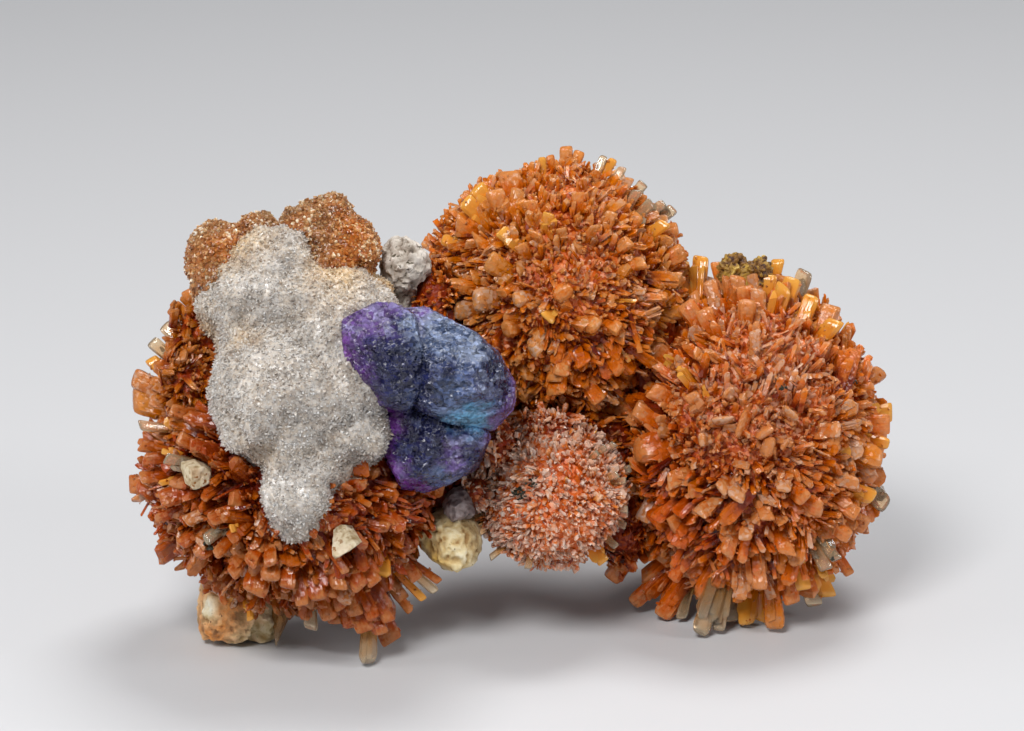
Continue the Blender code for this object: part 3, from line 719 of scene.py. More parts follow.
def rock(name, stops, speck=None, speck_share=0.30, pits=0.5, rough=0.75, scale=420.0, patches=None):
    """Pitted stone in blotches, with specks; patches is a colour for the parts whose hue is 1."""
    m, nt, sh = principled(name)
    tone, hue = attribute(nt, "tone"), attribute(nt, "hue")
    cloud = noise_tex(nt, scale, 6.0, 0.62)
    fine = noise_tex(nt, 2600.0, 4.0, 0.7)
    pit = cells(nt, 1500.0)
    place = calc(nt, "MULTIPLY_ADD", calc(nt, "SUBTRACT", cloud, 0.5), 1.5, tone)
    place = calc(nt, "MULTIPLY_ADD", calc(nt, "SUBTRACT", fine, 0.5), 0.55, place)
    colour = ramp(nt, place, stops)
    if patches:
        stain = calc(nt, "MULTIPLY_ADD", calc(nt, "SUBTRACT", cloud, 0.5), 1.8, hue, clamp=True)
        colour = mix(nt, stain, colour, ramp(nt, place, patches))
    if speck:
        spots = ramp(nt, noise_tex(nt, 1900.0, 2.0, 0.5), [(1 - speck_share - 0.03, 0.0), (1 - speck_share + 0.02, 1.0)])
        grime = ramp(nt, noise_tex(nt, 330.0, 3.0), [(0.42, 0.0), (0.60, 1.0)])
        colour = mix(nt, calc(nt, "MULTIPLY", spots, grime), colour, speck)
    nt.links.new(colour, sh.inputs["Base Color"])
    nt.links.new(calc(nt, "MULTIPLY_ADD", fine, 0.3, rough - 0.15, clamp=True), sh.inputs["Roughness"])
    height = calc(nt, "ADD", calc(nt, "MULTIPLY", ramp(nt, pit, [(0.0, 0.0), (0.25, 1.0)]), pits), calc(nt, "ADD", fine, calc(nt, "MULTIPLY", cloud, 0.8)))
    bump(nt, sh, height, 0.8, 0.00018)
    return m


M_RIGHT = creedite("creedite orange", (0.94, 0.135, 0.001), (0.95, 0.265, 0.003), (0.96, 0.43, 0.16))
M_LEFT = creedite("creedite red orange", (0.60, 0.076, 0.001), (0.80, 0.24, 0.004), (0.82, 0.34, 0.12), transmission=0.48)
M_TOP = creedite("creedite amber", (0.93, 0.155, 0.001), (0.95, 0.28, 0.003), (0.95, 0.44, 0.15))
M_SMALL = creedite("creedite pink orange", (0.92, 0.160, 0.012), (0.94, 0.38, 0.08), (0.99, 0.75, 0.61), transmission=0.34, facet=0.7, chips=0.45)
# The mass between the crystals gets darker colours than the blades: painted shade in the crevices between them.
M_MASS = creedite("creedite mass", (0.70, 0.095, 0.001), (0.72, 0.19, 0.003), (0.84, 0.40, 0.16), transmission=0.0, rough=0.30, facet=1.3, grit=0.9, chips=0.6)
M_AMBER = clear("creedite clear amber", (0.96, 0.25, 0.004), (0.98, 0.45, 0.07), transmission=0.36, rough=0.07)
M_GLASS = clear("creedite clear", (0.93, 0.43, 0.11), (0.99, 0.78, 0.52), transmission=0.76, rough=0.04)
M_QUARTZ = druse("white druse", [(0.05, (0.22, 0.182, 0.150)), (0.36, (0.405, 0.365, 0.325)), (0.72, (0.62, 0.58, 0.54)), (1.0, (0.96, 0.95, 0.935))],
                 [(0.10, (0.30, 0.14, 0.035)), (0.5, (0.62, 0.40, 0.18)), (1.0, (0.86, 0.70, 0.48))], sparkle=0.05, softness=0.7)
M_KNOB = druse("tan druse", [(0.10, (0.085, 0.032, 0.008)), (0.50, (0.23, 0.115, 0.045)), (0.82, (0.42, 0.26, 0.13)), (1.0, (0.88, 0.78, 0.64))],
               [(0.05, (0.12, 0.018, 0.002)), (0.5, (0.40, 0.105, 0.010)), (0.85, (0.60, 0.26, 0.08)), (1.0, (0.86, 0.60, 0.37))], sparkle=0.04, softness=0.4, edge=0.50)
M_GREY = rock("grey host rock", [(0.12, (0.045, 0.028, 0.018)), (0.42, (0.24, 0.19, 0.145)), (0.68, (0.48, 0.42, 0.355)), (1.0, (0.72, 0.66, 0.59))],
              speck=(0.06, 0.045, 0.02), speck_share=0.38, pits=0.9)
M_CREAM = rock("cream stone", [(0.10, (0.34, 0.19, 0.06)), (0.42, (0.62, 0.46, 0.22)), (0.75, (0.78, 0.68, 0.44)), (1.0, (0.84, 0.78, 0.62))],
               speck=(0.12, 0.06, 0.015), speck_share=0.33, patches=[(0.1, (0.30, 0.13, 0.008)), (0.6, (0.60, 0.33, 0.015)), (1.0, (0.78, 0.55, 0.10))])
M_STAINED = rock("stained stone", [(0.10, (0.42, 0.28, 0.11)), (0.5, (0.66, 0.54, 0.32)), (1.0, (0.80, 0.75, 0.60))],
                 speck=(0.10, 0.035, 0.008), speck_share=0.33, pits=0.5, patches=[(0.1, (0.16, 0.03, 0.003)), (0.5, (0.66, 0.20, 0.012)), (1.0, (0.84, 0.46, 0.12))])
M_CHIP = rock("cream chip", [(0.10, (0.30, 0.20, 0.09)), (0.5, (0.60, 0.50, 0.33)), (1.0, (0.78, 0.72, 0.58))],
              speck=(0.26, 0.10, 0.012), speck_share=0.38, patches=[(0.1, (0.25, 0.08, 0.01)), (1.0, (0.55, 0.25, 0.05))], rough=0.6)
M_GREYQ = rock("grey quartz", [(0.10, (0.09, 0.065, 0.065)), (0.5, (0.26, 0.20, 0.19)), (1.0, (0.50, 0.43, 0.42))], rough=0.4, pits=0.3)
M_OCHRE = rock("ochre crust", [(0.10, (0.05, 0.014, 0.003)), (0.45, (0.20, 0.085, 0.010)), (0.80, (0.46, 0.27, 0.035)), (1.0, (0.76, 0.56, 0.18))],
               speck=(0.05, 0.012, 0.003), speck_share=0.42, pits=0.9, rough=0.5)


def dark_metal():
    m, nt, sh = principled("dark grains")
    fine = noise_tex(nt, 2600.0, 3.0)
    nt.links.new(ramp(nt, fine, [(0.3, (0.010, 0.009, 0.006)), (0.6, (0.035, 0.032, 0.018)), (0.8, (0.12, 0.10, 0.05))]), sh.inputs["Base Color"])
    nt.links.new(calc(nt, "MULTIPLY_ADD", fine, 0.35, 0.08), sh.inputs["Roughness"])
    sh.inputs["Metallic"].default_value = 0.35
    bump(nt, sh, fine, 0.3, 0.0001)
    return m


M_DARK = dark_metal()


def fluorite_material():
    """Etched purple and blue crystal: zone says which colours lie where, frost how much the etching whitens it; on the
    upper faces the frost also stands for the sheen of the light from above, a painted highlight, and the pale etch
    lines are partly painted glints.
    """
    m, nt, sh = principled("fluorite")
    zone = attribute(nt, "zone", "Color")
    frost = attribute(nt, "frost")
    place = stretched(nt, node(nt, "ShaderNodeTexCoord").outputs["Object"], (1.0, 1.0, 1.25))
    fine = noise_tex(nt, 3200.0, 4.0, 0.7)
    cloud = noise_tex(nt, 480.0, 4.0, 0.6)
    tilt, dice = facets(nt, 950.0, place)
    small_tilt, small_dice = facets(nt, 2900.0, place)
    edges = ramp(nt, cells(nt, 2900.0, "DISTANCE_TO_EDGE", vector=place), [(0.0, 1.0), (0.07, 0.0)])
    long_edges = ramp(nt, cells(nt, 950.0, "DISTANCE_TO_EDGE", vector=place), [(0.0, 1.0), (0.04, 0.0)])
    broken = ramp(nt, noise_tex(nt, 1500.0, 2.0, 0.5), [(0.48, 0.0), (0.62, 1.0)])
    # painted reflection: each flat face is made lighter or darker than the next, as if it caught the light differently
    body = mix(nt, 1.0, zone, ramp(nt, calc(nt, "MULTIPLY_ADD", dice, 0.5, calc(nt, "MULTIPLY", small_dice, 0.5)), [(0.15, 0.45), (0.5, 0.90), (0.85, 1.7)]), "MULTIPLY")
    body = mix(nt, 1.0, body, ramp(nt, cloud, [(0.28, 0.55), (0.72, 1.4)]), "MULTIPLY")
    # Pale lines along the etch edges: etching, with painted glints on it.
    etch_and_glint_lines = calc(nt, "MULTIPLY", calc(nt, "MAXIMUM", edges, calc(nt, "MULTIPLY", long_edges, 0.8)), broken)
    body = mix(nt, calc(nt, "MULTIPLY", etch_and_glint_lines, calc(nt, "MULTIPLY_ADD", frost, 0.45, 0.30)), body, mix(nt, 0.6, zone, (0.70, 0.72, 0.88)))
    # Frosted plates, lighter or darker cell by cell: frosting, with painted glints and sheen on the brightest cells.
    frost_and_glint_plates = mix(nt, 1.0, mix(nt, 0.50, zone, (0.42, 0.48, 0.62)), ramp(nt, small_dice, [(0.0, 0.35), (0.7, 1.05), (1.0, 2.1)]), "MULTIPLY")
    cover = calc(nt, "MULTIPLY_ADD", calc(nt, "SUBTRACT", calc(nt, "MULTIPLY_ADD", dice, 0.4, calc(nt, "MULTIPLY", cloud, 0.8)), 0.60), 3.0,
                 calc(nt, "MULTIPLY_ADD", frost, 1.9, -1.05), clamp=True)
    nt.links.new(mix(nt, cover, body, frost_and_glint_plates), sh.inputs["Base Color"])
    nt.links.new(calc(nt, "MULTIPLY_ADD", cover, 0.20, calc(nt, "MULTIPLY_ADD", fine, 0.16, 0.02), clamp=True), sh.inputs["Roughness"])
    sh.inputs["IOR"].default_value = 1.434
    sh.inputs["Specular IOR Level"].default_value = 0.65
    sh.inputs["Transmission Weight"].default_value = 0.25
    height = calc(nt, "MULTIPLY_ADD", tilt, 4.2, calc(nt, "MULTIPLY_ADD", small_tilt, 2.0, calc(nt, "MULTIPLY", fine, 0.3)))
    bump(nt, sh, height, 0.9, 0.00020)
    return m


M_FLUORITE = fluorite_material()

# ---- camera, light and floor -------------------------------------------------------------------------------------
def to_row(p):
    return (np.asarray(p) + SHIFT) * 0.001


cam_data = bpy.data.cameras.new("camera")
cam_data.lens = 36.0 * DIST / (1024 * POINT)
cam_data.sensor_width = 36.0
cam_data.clip_start, cam_data.clip_end = 0.02, 20.0
cam = bpy.data.objects.new("camera", cam_data)
cam.location = to_row(EYE)
cam.rotation_euler = (math.pi / 2 - TILT, 0, 0)
bpy.context.scene.collection.objects.link(cam)
bpy.context.scene.camera = cam


def area(name, at, aim, size, power, colour=(1, 1, 1)):
    d = bpy.data.lights.new(name, "AREA")
    d.shape, d.size, d.energy, d.color = "SQUARE", size, power, colour
    o = bpy.data.objects.new(name, d)
    bpy.context.scene.collection.objects.link(o)
    o.location = at
    o.rotation_euler = (Vector(aim) - Vector(at)).to_track_quat("-Z", "Y").to_euler()
    return o


area("key", (-0.14, -0.36, 0.42), (0, 0, 0.02), 0.18, 2.5)
area("top", (0.10, 0.14, 0.52), (0, 0, 0.02), 0.20, 1.55)
area("left", (-0.50, -0.10, 0.18), (0, 0, 0.02), 0.14, 0.7)
area("right", (0.48, -0.16, 0.22), (0, 0, 0.02), 0.14, 0.8)

world = bpy.data.worlds.new("studio")
world.use_nodes = True
world.node_tree.nodes["Background"].inputs["Color"].default_value = (0.80, 0.82, 0.86, 1)
world.node_tree.nodes["Background"].inputs["Strength"].default_value = 0.24
bpy.context.scene.world = world
bpy.context.scene.view_settings.view_transform = "Standard"
cycles = bpy.context.scene.cycles
cycles.max_bounces, cycles.diffuse_bounces, cycles.glossy_bounces, cycles.transmission_bounces = 7, 3, 2, 6
cycles.caustics_reflective = cycles.caustics_refractive = False
cycles.adaptive_threshold = 0.03

floor_mesh = bpy.data.meshes.new("floor")
floor_mesh.from_pydata([(-3, -3, -0.0002), (3, -3, -0.0002), (3, 3, -0.0002), (-3, 3, -0.0002)], [], [(0, 1, 2, 3)])
floor = bpy.data.objects.new("floor", floor_mesh)
bpy.context.scene.collection.objects.link(floor)
fm, fnt, fsh = principled("floor")
fsh.inputs["Base Color"].default_value = (0.60, 0.60, 0.61, 1)
fsh.inputs["Roughness"].default_value = 0.55
floor_mesh.materials.append(fm)


# ---- the four creedite balls -------------------------------------------------------------------------------------
# (tip across, tip down, width mm, thickness share, look, end): look o orange, y amber, p pale, g glassy; end 0 flat to 1 round.
# A seventh value is the depth of a tip that stands out in front of the ball.
HEROES = {
    "top": [
        (508, 171, 2.8, 0.6, "o", 0.2), (494, 190, 2.2, 0.6, "o", 0.4), (476, 187, 2.2, 0.5, "y", 0.3), (464, 200, 2.0, 0.6, "y", 0.5),
        (456, 222, 1.9, 0.6, "o", 0.6), (424, 240, 1.6, 0.7, "p", 0.8), (442, 239, 1.5, 0.7, "y", 0.8), (542, 157, 1.0, 0.8, "y", 0.9),
        (550, 155, 1.1, 0.8, "o", 0.9), (566, 146, 1.5, 0.8, "o", 0.5), (580, 151, 1.3, 0.8, "o", 0.6), (604, 156, 1.0, 0.8, "g", 0.9),
        (614, 159, 1.1, 0.8, "y", 0.9), (623, 167, 1.1, 0.8, "g", 0.9), (644, 183, 1.3, 0.6, "g", 0.2), (638, 190, 1.2, 0.6, "g", 0.4),
        (630, 178, 1.2, 0.7, "p", 0.6), (674, 208, 1.5, 0.6, "g", 0.7), (664, 203, 1.3, 0.6, "g", 0.7), (652, 202, 1.3, 0.6, "g", 0.7),
        (678, 228, 1.9, 0.6, "o", 0.8), (666, 222, 1.5, 0.6, "y", 0.7), (684, 251, 2.3, 0.5, "o", 0.1), (579, 192, 1.6, 0.5, "o", 0.2),
        (549, 213, 1.5, 0.5, "y", 0.3), (561, 228, 1.3, 0.5, "o", 0.3), (596, 225, 1.5, 0.5, "o", 0.3), (488, 260, 2.6, 0.5, "y", 0.3),
        (474, 300, 2.8, 0.6, "p", 0.9), (563, 293, 2.5, 0.9, "o", 0.5), (598, 326, 2.1, 0.9, "p", 0.4), (547, 319, 1.9, 0.5, "y", 0.2),
        (450, 286, 1.9, 0.9, "o", 0.9), (436, 300, 2.0, 0.5, "p", 0.9), (455, 312, 2.2, 0.6, "p", 0.9), (620, 330, 1.8, 0.8, "o", 0.6),
        (505, 330, 2.2, 0.8, "o", 0.8), (532, 352, 2.0, 0.8, "p", 0.7), (560, 375, 2.0, 0.7, "p", 0.3), (584, 365, 1.8, 0.6, "o", 0.3),
        (620, 372, 2.0, 0.9, "o", 0.8), (556, 395, 2.4, 0.6, "o", 0.4), (600, 402, 1.8, 0.6, "o", 0.5), (534, 232, 1.7, 0.5, "o", 0.3),
        (612, 212, 1.4, 0.6, "o", 0.3), (630, 240, 1.6, 0.6, "o", 0.4), (520, 245, 1.6, 0.5, "o", 0.3), (500, 230, 1.8, 0.5, "y", 0.3),
        (645, 262, 1.6, 0.6, "o", 0.5), (514, 300, 1.8, 0.7, "p", 0.8), (530, 200, 1.6, 0.5, "o", 0.3), (640, 215, 1.4, 0.7, "o", 0.6),
    ],
    "right": [
        (643, 342, 3.8, 0.9, "o", 0.1), (684, 303, 2.3, 0.7, "o", 0.2), (703, 309, 2.0, 0.6, "o", 0.2), (662, 298, 2.2, 0.7, "o", 0.3),
        (655, 270, 2.4, 0.7, "y", 0.3), (680, 262, 2.2, 0.6, "y", 0.3), (701, 256, 1.9, 0.6, "y", 0.5), (716, 262, 1.6, 0.6, "o", 0.6),
        (778, 259, 1.7, 0.6, "y", 0.4), (770, 275, 1.8, 0.6, "y", 0.6), (805, 270, 2.2, 0.6, "g", 0.6), (794, 278, 2.2, 0.6, "y", 0.7),
        (832, 305, 2.4, 0.8, "y", 0.3), (837, 320, 2.0, 0.8, "y", 0.5), (812, 295, 2.0, 0.7, "y", 0.7), (882, 370, 2.6, 0.5, "y", 0.9),
        (892, 412, 2.3, 0.5, "y", 0.1), (890, 424, 2.3, 0.4, "o", 0.1), (616, 404, 3.0, 0.8, "o", 0.5), (634, 408, 2.6, 0.8, "o", 0.5),
        (650, 390, 2.0, 0.7, "o", 0.4), (636, 450, 3.8, 0.9, "o", 0.9), (668, 482, 2.0, 0.6, "p", 0.2), (699, 515, 1.9, 0.5, "p", 0.3),
        (677, 547, 2.0, 0.6, "o", 0.3), (788, 555, 1.9, 0.5, "o", 0.0), (726, 556, 2.2, 0.6, "p", 0.2), (701, 600, 2.9, 0.7, "o", 1.0),
        (661, 617, 2.5, 0.7, "o", 0.8), (681, 619, 1.3, 0.6, "g", 0.8), (699, 634, 2.2, 0.7, "g", 0.9), (718, 631, 1.6, 0.6, "g", 0.9),
        (732, 622, 1.5, 0.6, "g", 0.8), (746, 625, 2.3, 0.7, "y", 1.0), (775, 629, 2.5, 0.7, "y", 0.8), (762, 622, 1.8, 0.7, "y", 0.6),
        (829, 597, 2.0, 0.5, "y", 0.5), (815, 606, 2.0, 0.5, "g", 0.6), (804, 590, 1.8, 0.5, "y", 0.4), (827, 570, 1.6, 0.6, "g", 0.3),
        (837, 560, 1.3, 0.6, "g", 0.3), (850, 538, 2.0, 0.7, "o", 0.7), (867, 527, 2.2, 0.5, "o", 0.3), (858, 515, 1.8, 0.5, "o", 0.5),
        (887, 506, 2.2, 0.7, "g", 0.8), (874, 498, 2.0, 0.7, "y", 0.8), (859, 484, 1.7, 0.7, "p", 0.8), (882, 460, 2.8, 0.9, "y", 0.9),
        (889, 444, 1.4, 0.8, "y", 0.8), (822, 510, 2.4, 0.6, "o", 0.6), (806, 500, 2.0, 0.5, "o", 0.5), (784, 490, 1.8, 0.6, "p", 0.5),
        (770, 448, 2.4, 0.7, "o", 0.6), (735, 498, 2.2, 0.6, "p", 0.2), (720, 490, 1.8, 0.6, "p", 0.3), (740, 424, 3.4, 0.35, "o", 0.4),
        (722, 418, 2.8, 0.35, "p", 0.4), (766, 434, 2.2, 0.5, "o", 0.5), (792, 412, 2.2, 0.4, "p", 0.2), (755, 330, 1.4, 0.7, "p", 0.4),
        (606, 378, 1.9, 0.9, "o", 0.8), (610, 580, 2.2, 0.7, "o", 0.6), (632, 604, 2.2, 0.7, "o", 0.7), (640, 560, 1.8, 0.6, "o", 0.5),
        (654, 590, 2.0, 0.7, "o", 0.6), (760, 590, 2.0, 0.7, "o", 0.8), (740, 600, 1.8, 0.7, "p", 0.8), (672, 580, 1.7, 0.7, "o", 0.6),
        (793, 604, 2.0, 0.6, "o", 0.6), (850, 575, 1.3, 0.6, "o", 0.5), (626, 520, 1.7, 0.7, "o", 0.6), (655, 520, 1.6, 0.7, "o", 0.5),
        (745, 540, 1.6, 0.6, "p", 0.5), (768, 520, 1.8, 0.5, "o", 0.4), (840, 430, 1.7, 0.6, "p", 0.4), (700, 440, 1.6, 0.7, "p", 0.3),
        (690, 395, 1.8, 0.7, "o", 0.5), (620, 350, 1.5, 0.8, "p", 0.5), (730, 275, 2.0, 0.7, "o", 0.6), (747, 300, 2.2, 0.7, "o", 0.6),
        (721, 269, 1.6, 0.7, "o", 0.5), (738, 276, 2.1, 0.6, "o", 0.4), (752, 274, 1.8, 0.7, "p", 0.6), (764, 270, 1.6, 0.7, "o", 0.6),
        (745, 286, 2.3, 0.6, "o", 0.3), (758, 289, 1.8, 0.6, "p", 0.5), (710, 281, 1.8, 0.7, "p", 0.5), (784, 285, 1.9, 0.7, "y", 0.5),
    ],
    "left": [
        (133, 377, 2.4, 0.8, "p", 0.6), (133, 400, 3.0, 0.8, "y", 0.4), (139, 425, 1.2, 0.7, "g", 0.5), (140, 445, 1.5, 0.7, "o", 0.6),
        (143, 460, 1.5, 0.7, "o", 0.6), (129, 484, 2.2, 0.6, "o", 0.2), (140, 478, 1.7, 0.6, "o", 0.4), (160, 500, 2.2, 0.6, "o", 0.6),
        (164, 325, 1.7, 0.7, "g", 0.6), (151, 341, 1.6, 0.8, "g", 0.5), (150, 358, 1.6, 0.8, "y", 0.5), (172, 306, 1.9, 0.6, "o", 0.3),
        (184, 318, 1.7, 0.6, "o", 0.3), (178, 437, 1.6, 0.6, "o", 0.4), (165, 458, 1.5, 0.5, "g", 0.1), (190, 445, 1.5, 0.6, "o", 0.4),
        (185, 522, 1.5, 0.6, "p", 0.5), (199, 557, 2.1, 0.8, "o", 0.9), (180, 545, 1.4, 0.7, "o", 0.6), (249, 565, 1.8, 0.6, "o", 0.8),
        (270, 565, 1.6, 0.7, "o", 0.7), (287, 588, 1.9, 0.8, "o", 0.6), (253, 594, 3.0, 0.7, "o", 0.6), (270, 580, 2.2, 0.7, "o", 0.7),
        (319, 600, 2.2, 0.7, "o", 0.8), (303, 606, 1.8, 0.7, "o", 0.7), (345, 624, 1.8, 0.6, "p", 0.6), (362, 588, 2.0, 0.7, "o", 0.2),
        (376, 584, 1.9, 0.6, "o", 0.3), (393, 642, 2.6, 0.5, "o", 0.1), (380, 620, 1.9, 0.6, "o", 0.3), (311, 630, 1.6, 0.6, "g", 0.6),
        (330, 620, 1.9, 0.7, "o", 0.7), (424, 600, 1.0, 0.8, "y", 0.8), (436, 592, 1.1, 0.8, "g", 0.8), (440, 582, 1.0, 0.8, "o", 0.8),
        (411, 612, 1.1, 0.8, "o", 0.8), (404, 600, 1.8, 0.6, "o", 0.4), (418, 580, 1.6, 0.6, "o", 0.4), (186, 290, 1.5, 0.7, "o", 0.5),
        (155, 520, 1.4, 0.6, "o", 0.6), (231, 575, 1.7, 0.7, "o", 0.7), (340, 590, 1.8, 0.7, "o", 0.6), (215, 555, 1.4, 0.7, "o", 0.8),
        (205, 540, 1.5, 0.7, "g", 0.8), (150, 400, 1.5, 0.6, "o", 0.6), (152, 380, 1.3, 0.6, "o", 0.6), (168, 345, 1.4, 0.6, "o", 0.5),
        (175, 370, 1.5, 0.6, "o", 0.5), (170, 410, 1.6, 0.6, "o", 0.5), (210, 520, 1.6, 0.6, "o", 0.5), (230, 540, 1.7, 0.6, "o", 0.6),
        (336, 624, 1.8, 0.6, "o", 0.6, -9.2), (352, 628, 1.9, 0.6, "o", 0.5, -9.3), (366, 632, 2.2, 0.6, "o", 0.4, -9.9), (382, 634, 2.0, 0.6, "o", 0.5, -9.0),
        (374, 619, 1.7, 0.7, "o", 0.6, -10.4), (357, 616, 1.8, 0.7, "o", 0.6, -10.8), (341, 610, 1.6, 0.6, "o", 0.6, -11.0), (390, 622, 1.6, 0.6, "o", 0.5, -9.2),
    ],
    "small": [
        (615, 443, 0.9, 0.6, "g", 0.2), (606, 447, 0.8, 0.6, "g", 0.2), (598, 452, 0.8, 0.6, "g", 0.2), (631, 468, 0.9, 0.6, "g", 0.2),
        (626, 480, 0.9, 0.6, "g", 0.2), (618, 474, 0.8, 0.6, "g", 0.2), (469, 526, 1.3, 0.6, "g", 0.1), (473, 536, 1.1, 0.6, "g", 0.1),
        (470, 517, 1.0, 0.6, "p", 0.1), (528, 569, 0.9, 0.6, "g", 0.3), (577, 572, 0.9, 0.6, "o", 0.3), (604, 563, 1.5, 0.5, "y", 0.2),
        (617, 547, 0.9, 0.7, "g", 0.6), (468, 474, 1.0, 0.6, "p", 0.4), (475, 482, 0.9, 0.6, "p", 0.4), (556, 412, 1.0, 0.6, "p", 0.5),
        (628, 510, 0.9, 0.6, "g", 0.3), (626, 526, 0.9, 0.6, "g", 0.3), (490, 558, 0.8, 0.6, "g", 0.3), (540, 414, 0.9, 0.6, "p", 0.4),
    ],
}
# patches of each ball: (across, down, radius in points, fineness, hue, dust, tone); hue runs from red-orange to amber.
# Tone makes a patch lighter or darker; the darker patches low on the balls and where they meet are painted shade.
PATCHES = {
    "top": [
        (510, 185, 30, 0.0, 0.75, 0.15, 0.10), (575, 165, 50, 0.75, 0.55, 0.60, 0.08), (660, 220, 40, 0.1, 0.75, 0.35, 0.12),
        (555, 222, 42, 0.2, 0.60, 0.35, 0.05), (575, 272, 48, 0.95, 0.42, 0.95, 0.14), (450, 290, 48, 0.35, 0.60, 0.60, 0.12),
        (590, 350, 42, 0.45, 0.22, 0.25, -0.32), (530, 340, 34, 0.55, 0.40, 0.60, -0.05), (560, 395, 30, 0.2, 0.35, 0.30, -0.1),
        (625, 300, 38, 0.3, 0.45, 0.35, -0.05), (490, 240, 38, 0.2, 0.60, 0.40, 0.05),
    ],
    "right": [
        (643, 342, 28, 0.0, 0.35, 0.0, 0.15), (680, 268, 40, 0.1, 0.90, 0.20, 0.12), (702, 308, 30, 0.2, 0.50, 0.15, 0.05),
        (745, 310, 34, 0.55, 0.45, 0.60, 0.02), (805, 275, 34, 0.0, 0.95, 0.15, 0.12), (834, 308, 28, 0.0, 0.90, 0.15, 0.10),
        (795, 370, 64, 1.0, 0.35, 1.15, 0.28), (740, 405, 40, 0.45, 0.45, 0.80, 0.14), (655, 520, 46, 0.1, 0.08, 0.10, -0.38),
        (705, 560, 46, 0.1, 0.22, 0.25, -0.14), (790, 600, 56, 0.0, 0.48, 0.20, -0.06), (872, 425, 46, 0.05, 0.75, 0.35, 0.14),
        (872, 515, 32, 0.1, 0.55, 0.50, 0.10), (632, 412, 36, 0.1, 0.40, 0.10, 0.06), (690, 430, 44, 0.7, 0.25, 0.60, -0.12),
        (780, 500, 50, 0.2, 0.35, 0.40, 0.0), (835, 440, 36, 0.6, 0.40, 0.70, -0.02),
    ],
    "left": [
        (148, 390, 44, 0.0, 0.80, 0.20, 0.02), (190, 440, 42, 0.3, 0.20, 0.15, -0.24), (225, 520, 56, 0.1, 0.06, 0.12, -0.28),
        (308, 550, 38, 0.9, 0.42, 1.1, 0.32), (270, 585, 56, 0.0, 0.16, 0.12, -0.10), (345, 595, 56, 0.0, 0.22, 0.20, -0.12),
        (400, 545, 56, 0.35, 0.06, 0.22, -0.36), (165, 322, 34, 0.0, 0.75, 0.25, 0.12), (195, 560, 36, 0.1, 0.40, 0.25, -0.05),
        (425, 600, 30, 0.1, 0.55, 0.25, 0.05),
    ],
    "small": [
        (570, 468, 28, 0.5, 0.10, 0.05, 0.20), (494, 474, 30, 0.2, 0.50, 1.0, 0.60), (604, 456, 30, 0.3, 0.60, 0.85, 0.30),
        (548, 520, 46, 0.9, 0.25, 0.95, 0.22), (550, 562, 42, 0.7, 0.45, 0.70, 0.15), (530, 440, 34, 0.8, 0.45, 0.90, 0.30),
    ],
}
AVERAGE = {"top": (0.30, 0.55, 0.42, 0.0), "right": (0.22, 0.45, 0.35, 0.0), "left": (0.15, 0.22, 0.20, -0.08), "small": (0.75, 0.35, 0.8, 0.15)}


def patchwork(points, ball):
    """Fineness, hue, dust and tone shift at each point of a ball."""
    total = np.full(len(points), 0.35)
    out = np.array(AVERAGE[ball])[None] * total[:, None]
    for across, down, wide, *values in PATCHES[ball]:
        c = tip_on_ball(across, down, CENTRE[ball], RADII[ball])
        w = 2.2 * np.exp(-(((points - c) / (wide * POINT * 1.05)) ** 2).sum(-1))
        total = total + w
        out = out + w[:, None] * np.array(values)
    out = out / total[:, None]
    far = 0.35 / total
    out[:, 0] += far * 0.55 * vnoise(points, 0.16, 5) + 0.22 * vnoise(points, 0.35, 9)
    out[:, 1] += far * 0.35 * vnoise(points, 0.13, 6) + 0.10 * vnoise(points, 0.5, 7)
    out[:, 2] += far * 0.45 * vnoise(points, 0.15, 8) + 0.12 * vnoise(points, 0.45, 12)
    out[:, 3] += 0.10 * vnoise(points, 0.3, 13)
    return out.T


def relief(points):
    """How far the tufts of crystals stand out, as a share of the distance from the ball's centre."""
    return 1 + 0.020 * vnoise(points, 0.16, 3) + 0.065 * np.minimum(vnoise(points, 0.36, 4), 0.18)


def mass_share(points, ball, fine):
    """How far out the solid mass of a ball reaches: high under sugar, low between blades."""
    low = {"left": 0.765, "top": 0.80, "right": 0.80, "small": 0.78}[ball]
    return low + {"left": 0.14, "small": 0.10}.get(ball, 0.125) * np.clip(fine, 0, 1) + 0.022 * vnoise(points, 0.45, 31) + 0.012 * vnoise(points, 1.1, 32)


def fan(tips, ball):
    """Crystal directions: they fan from a point in front of the ball's centre where they face forwards."""
    centre, radius = CENTRE[ball], RADII[ball].mean()
    facing = unit(tips - centre) @ -FWD
    k = {"left": 0.36, "top": 0.40, "right": 0.44, "small": 0.25}[ball] * np.clip(facing + 0.30, 0, 1)
    return unit(tips - centre + FWD * (k * radius)[:, None])


def swirl(points):
    """How neighbours lean together: crystals grow in small tufts, each with its own direction."""
    slow = np.stack([vnoise(points, 0.22, 141 + k) for k in range(3)], -1)
    quick = np.stack([vnoise(points, 0.60, 151 + k) for k in range(3)], -1)
    return 0.66 * slow + 0.68 * quick


def upright(axis, out, least=0.68):
    """The directions, leant back towards out where they lie too flat."""
    along = (axis * out).sum(-1, keepdims=True)
    side = unit(axis - along * out)
    return np.where(along < least, least * out + math.sqrt(1 - least**2) * side, axis)


def broadside(axis):
    """The roll at which a crystal's width lies across the front view."""
    x0, y0 = frames(axis, np.zeros(len(axis)))
    side = unit(np.cross(FWD[None], axis))
    return np.arctan2((side * y0).sum(-1), (side * x0).sum(-1))


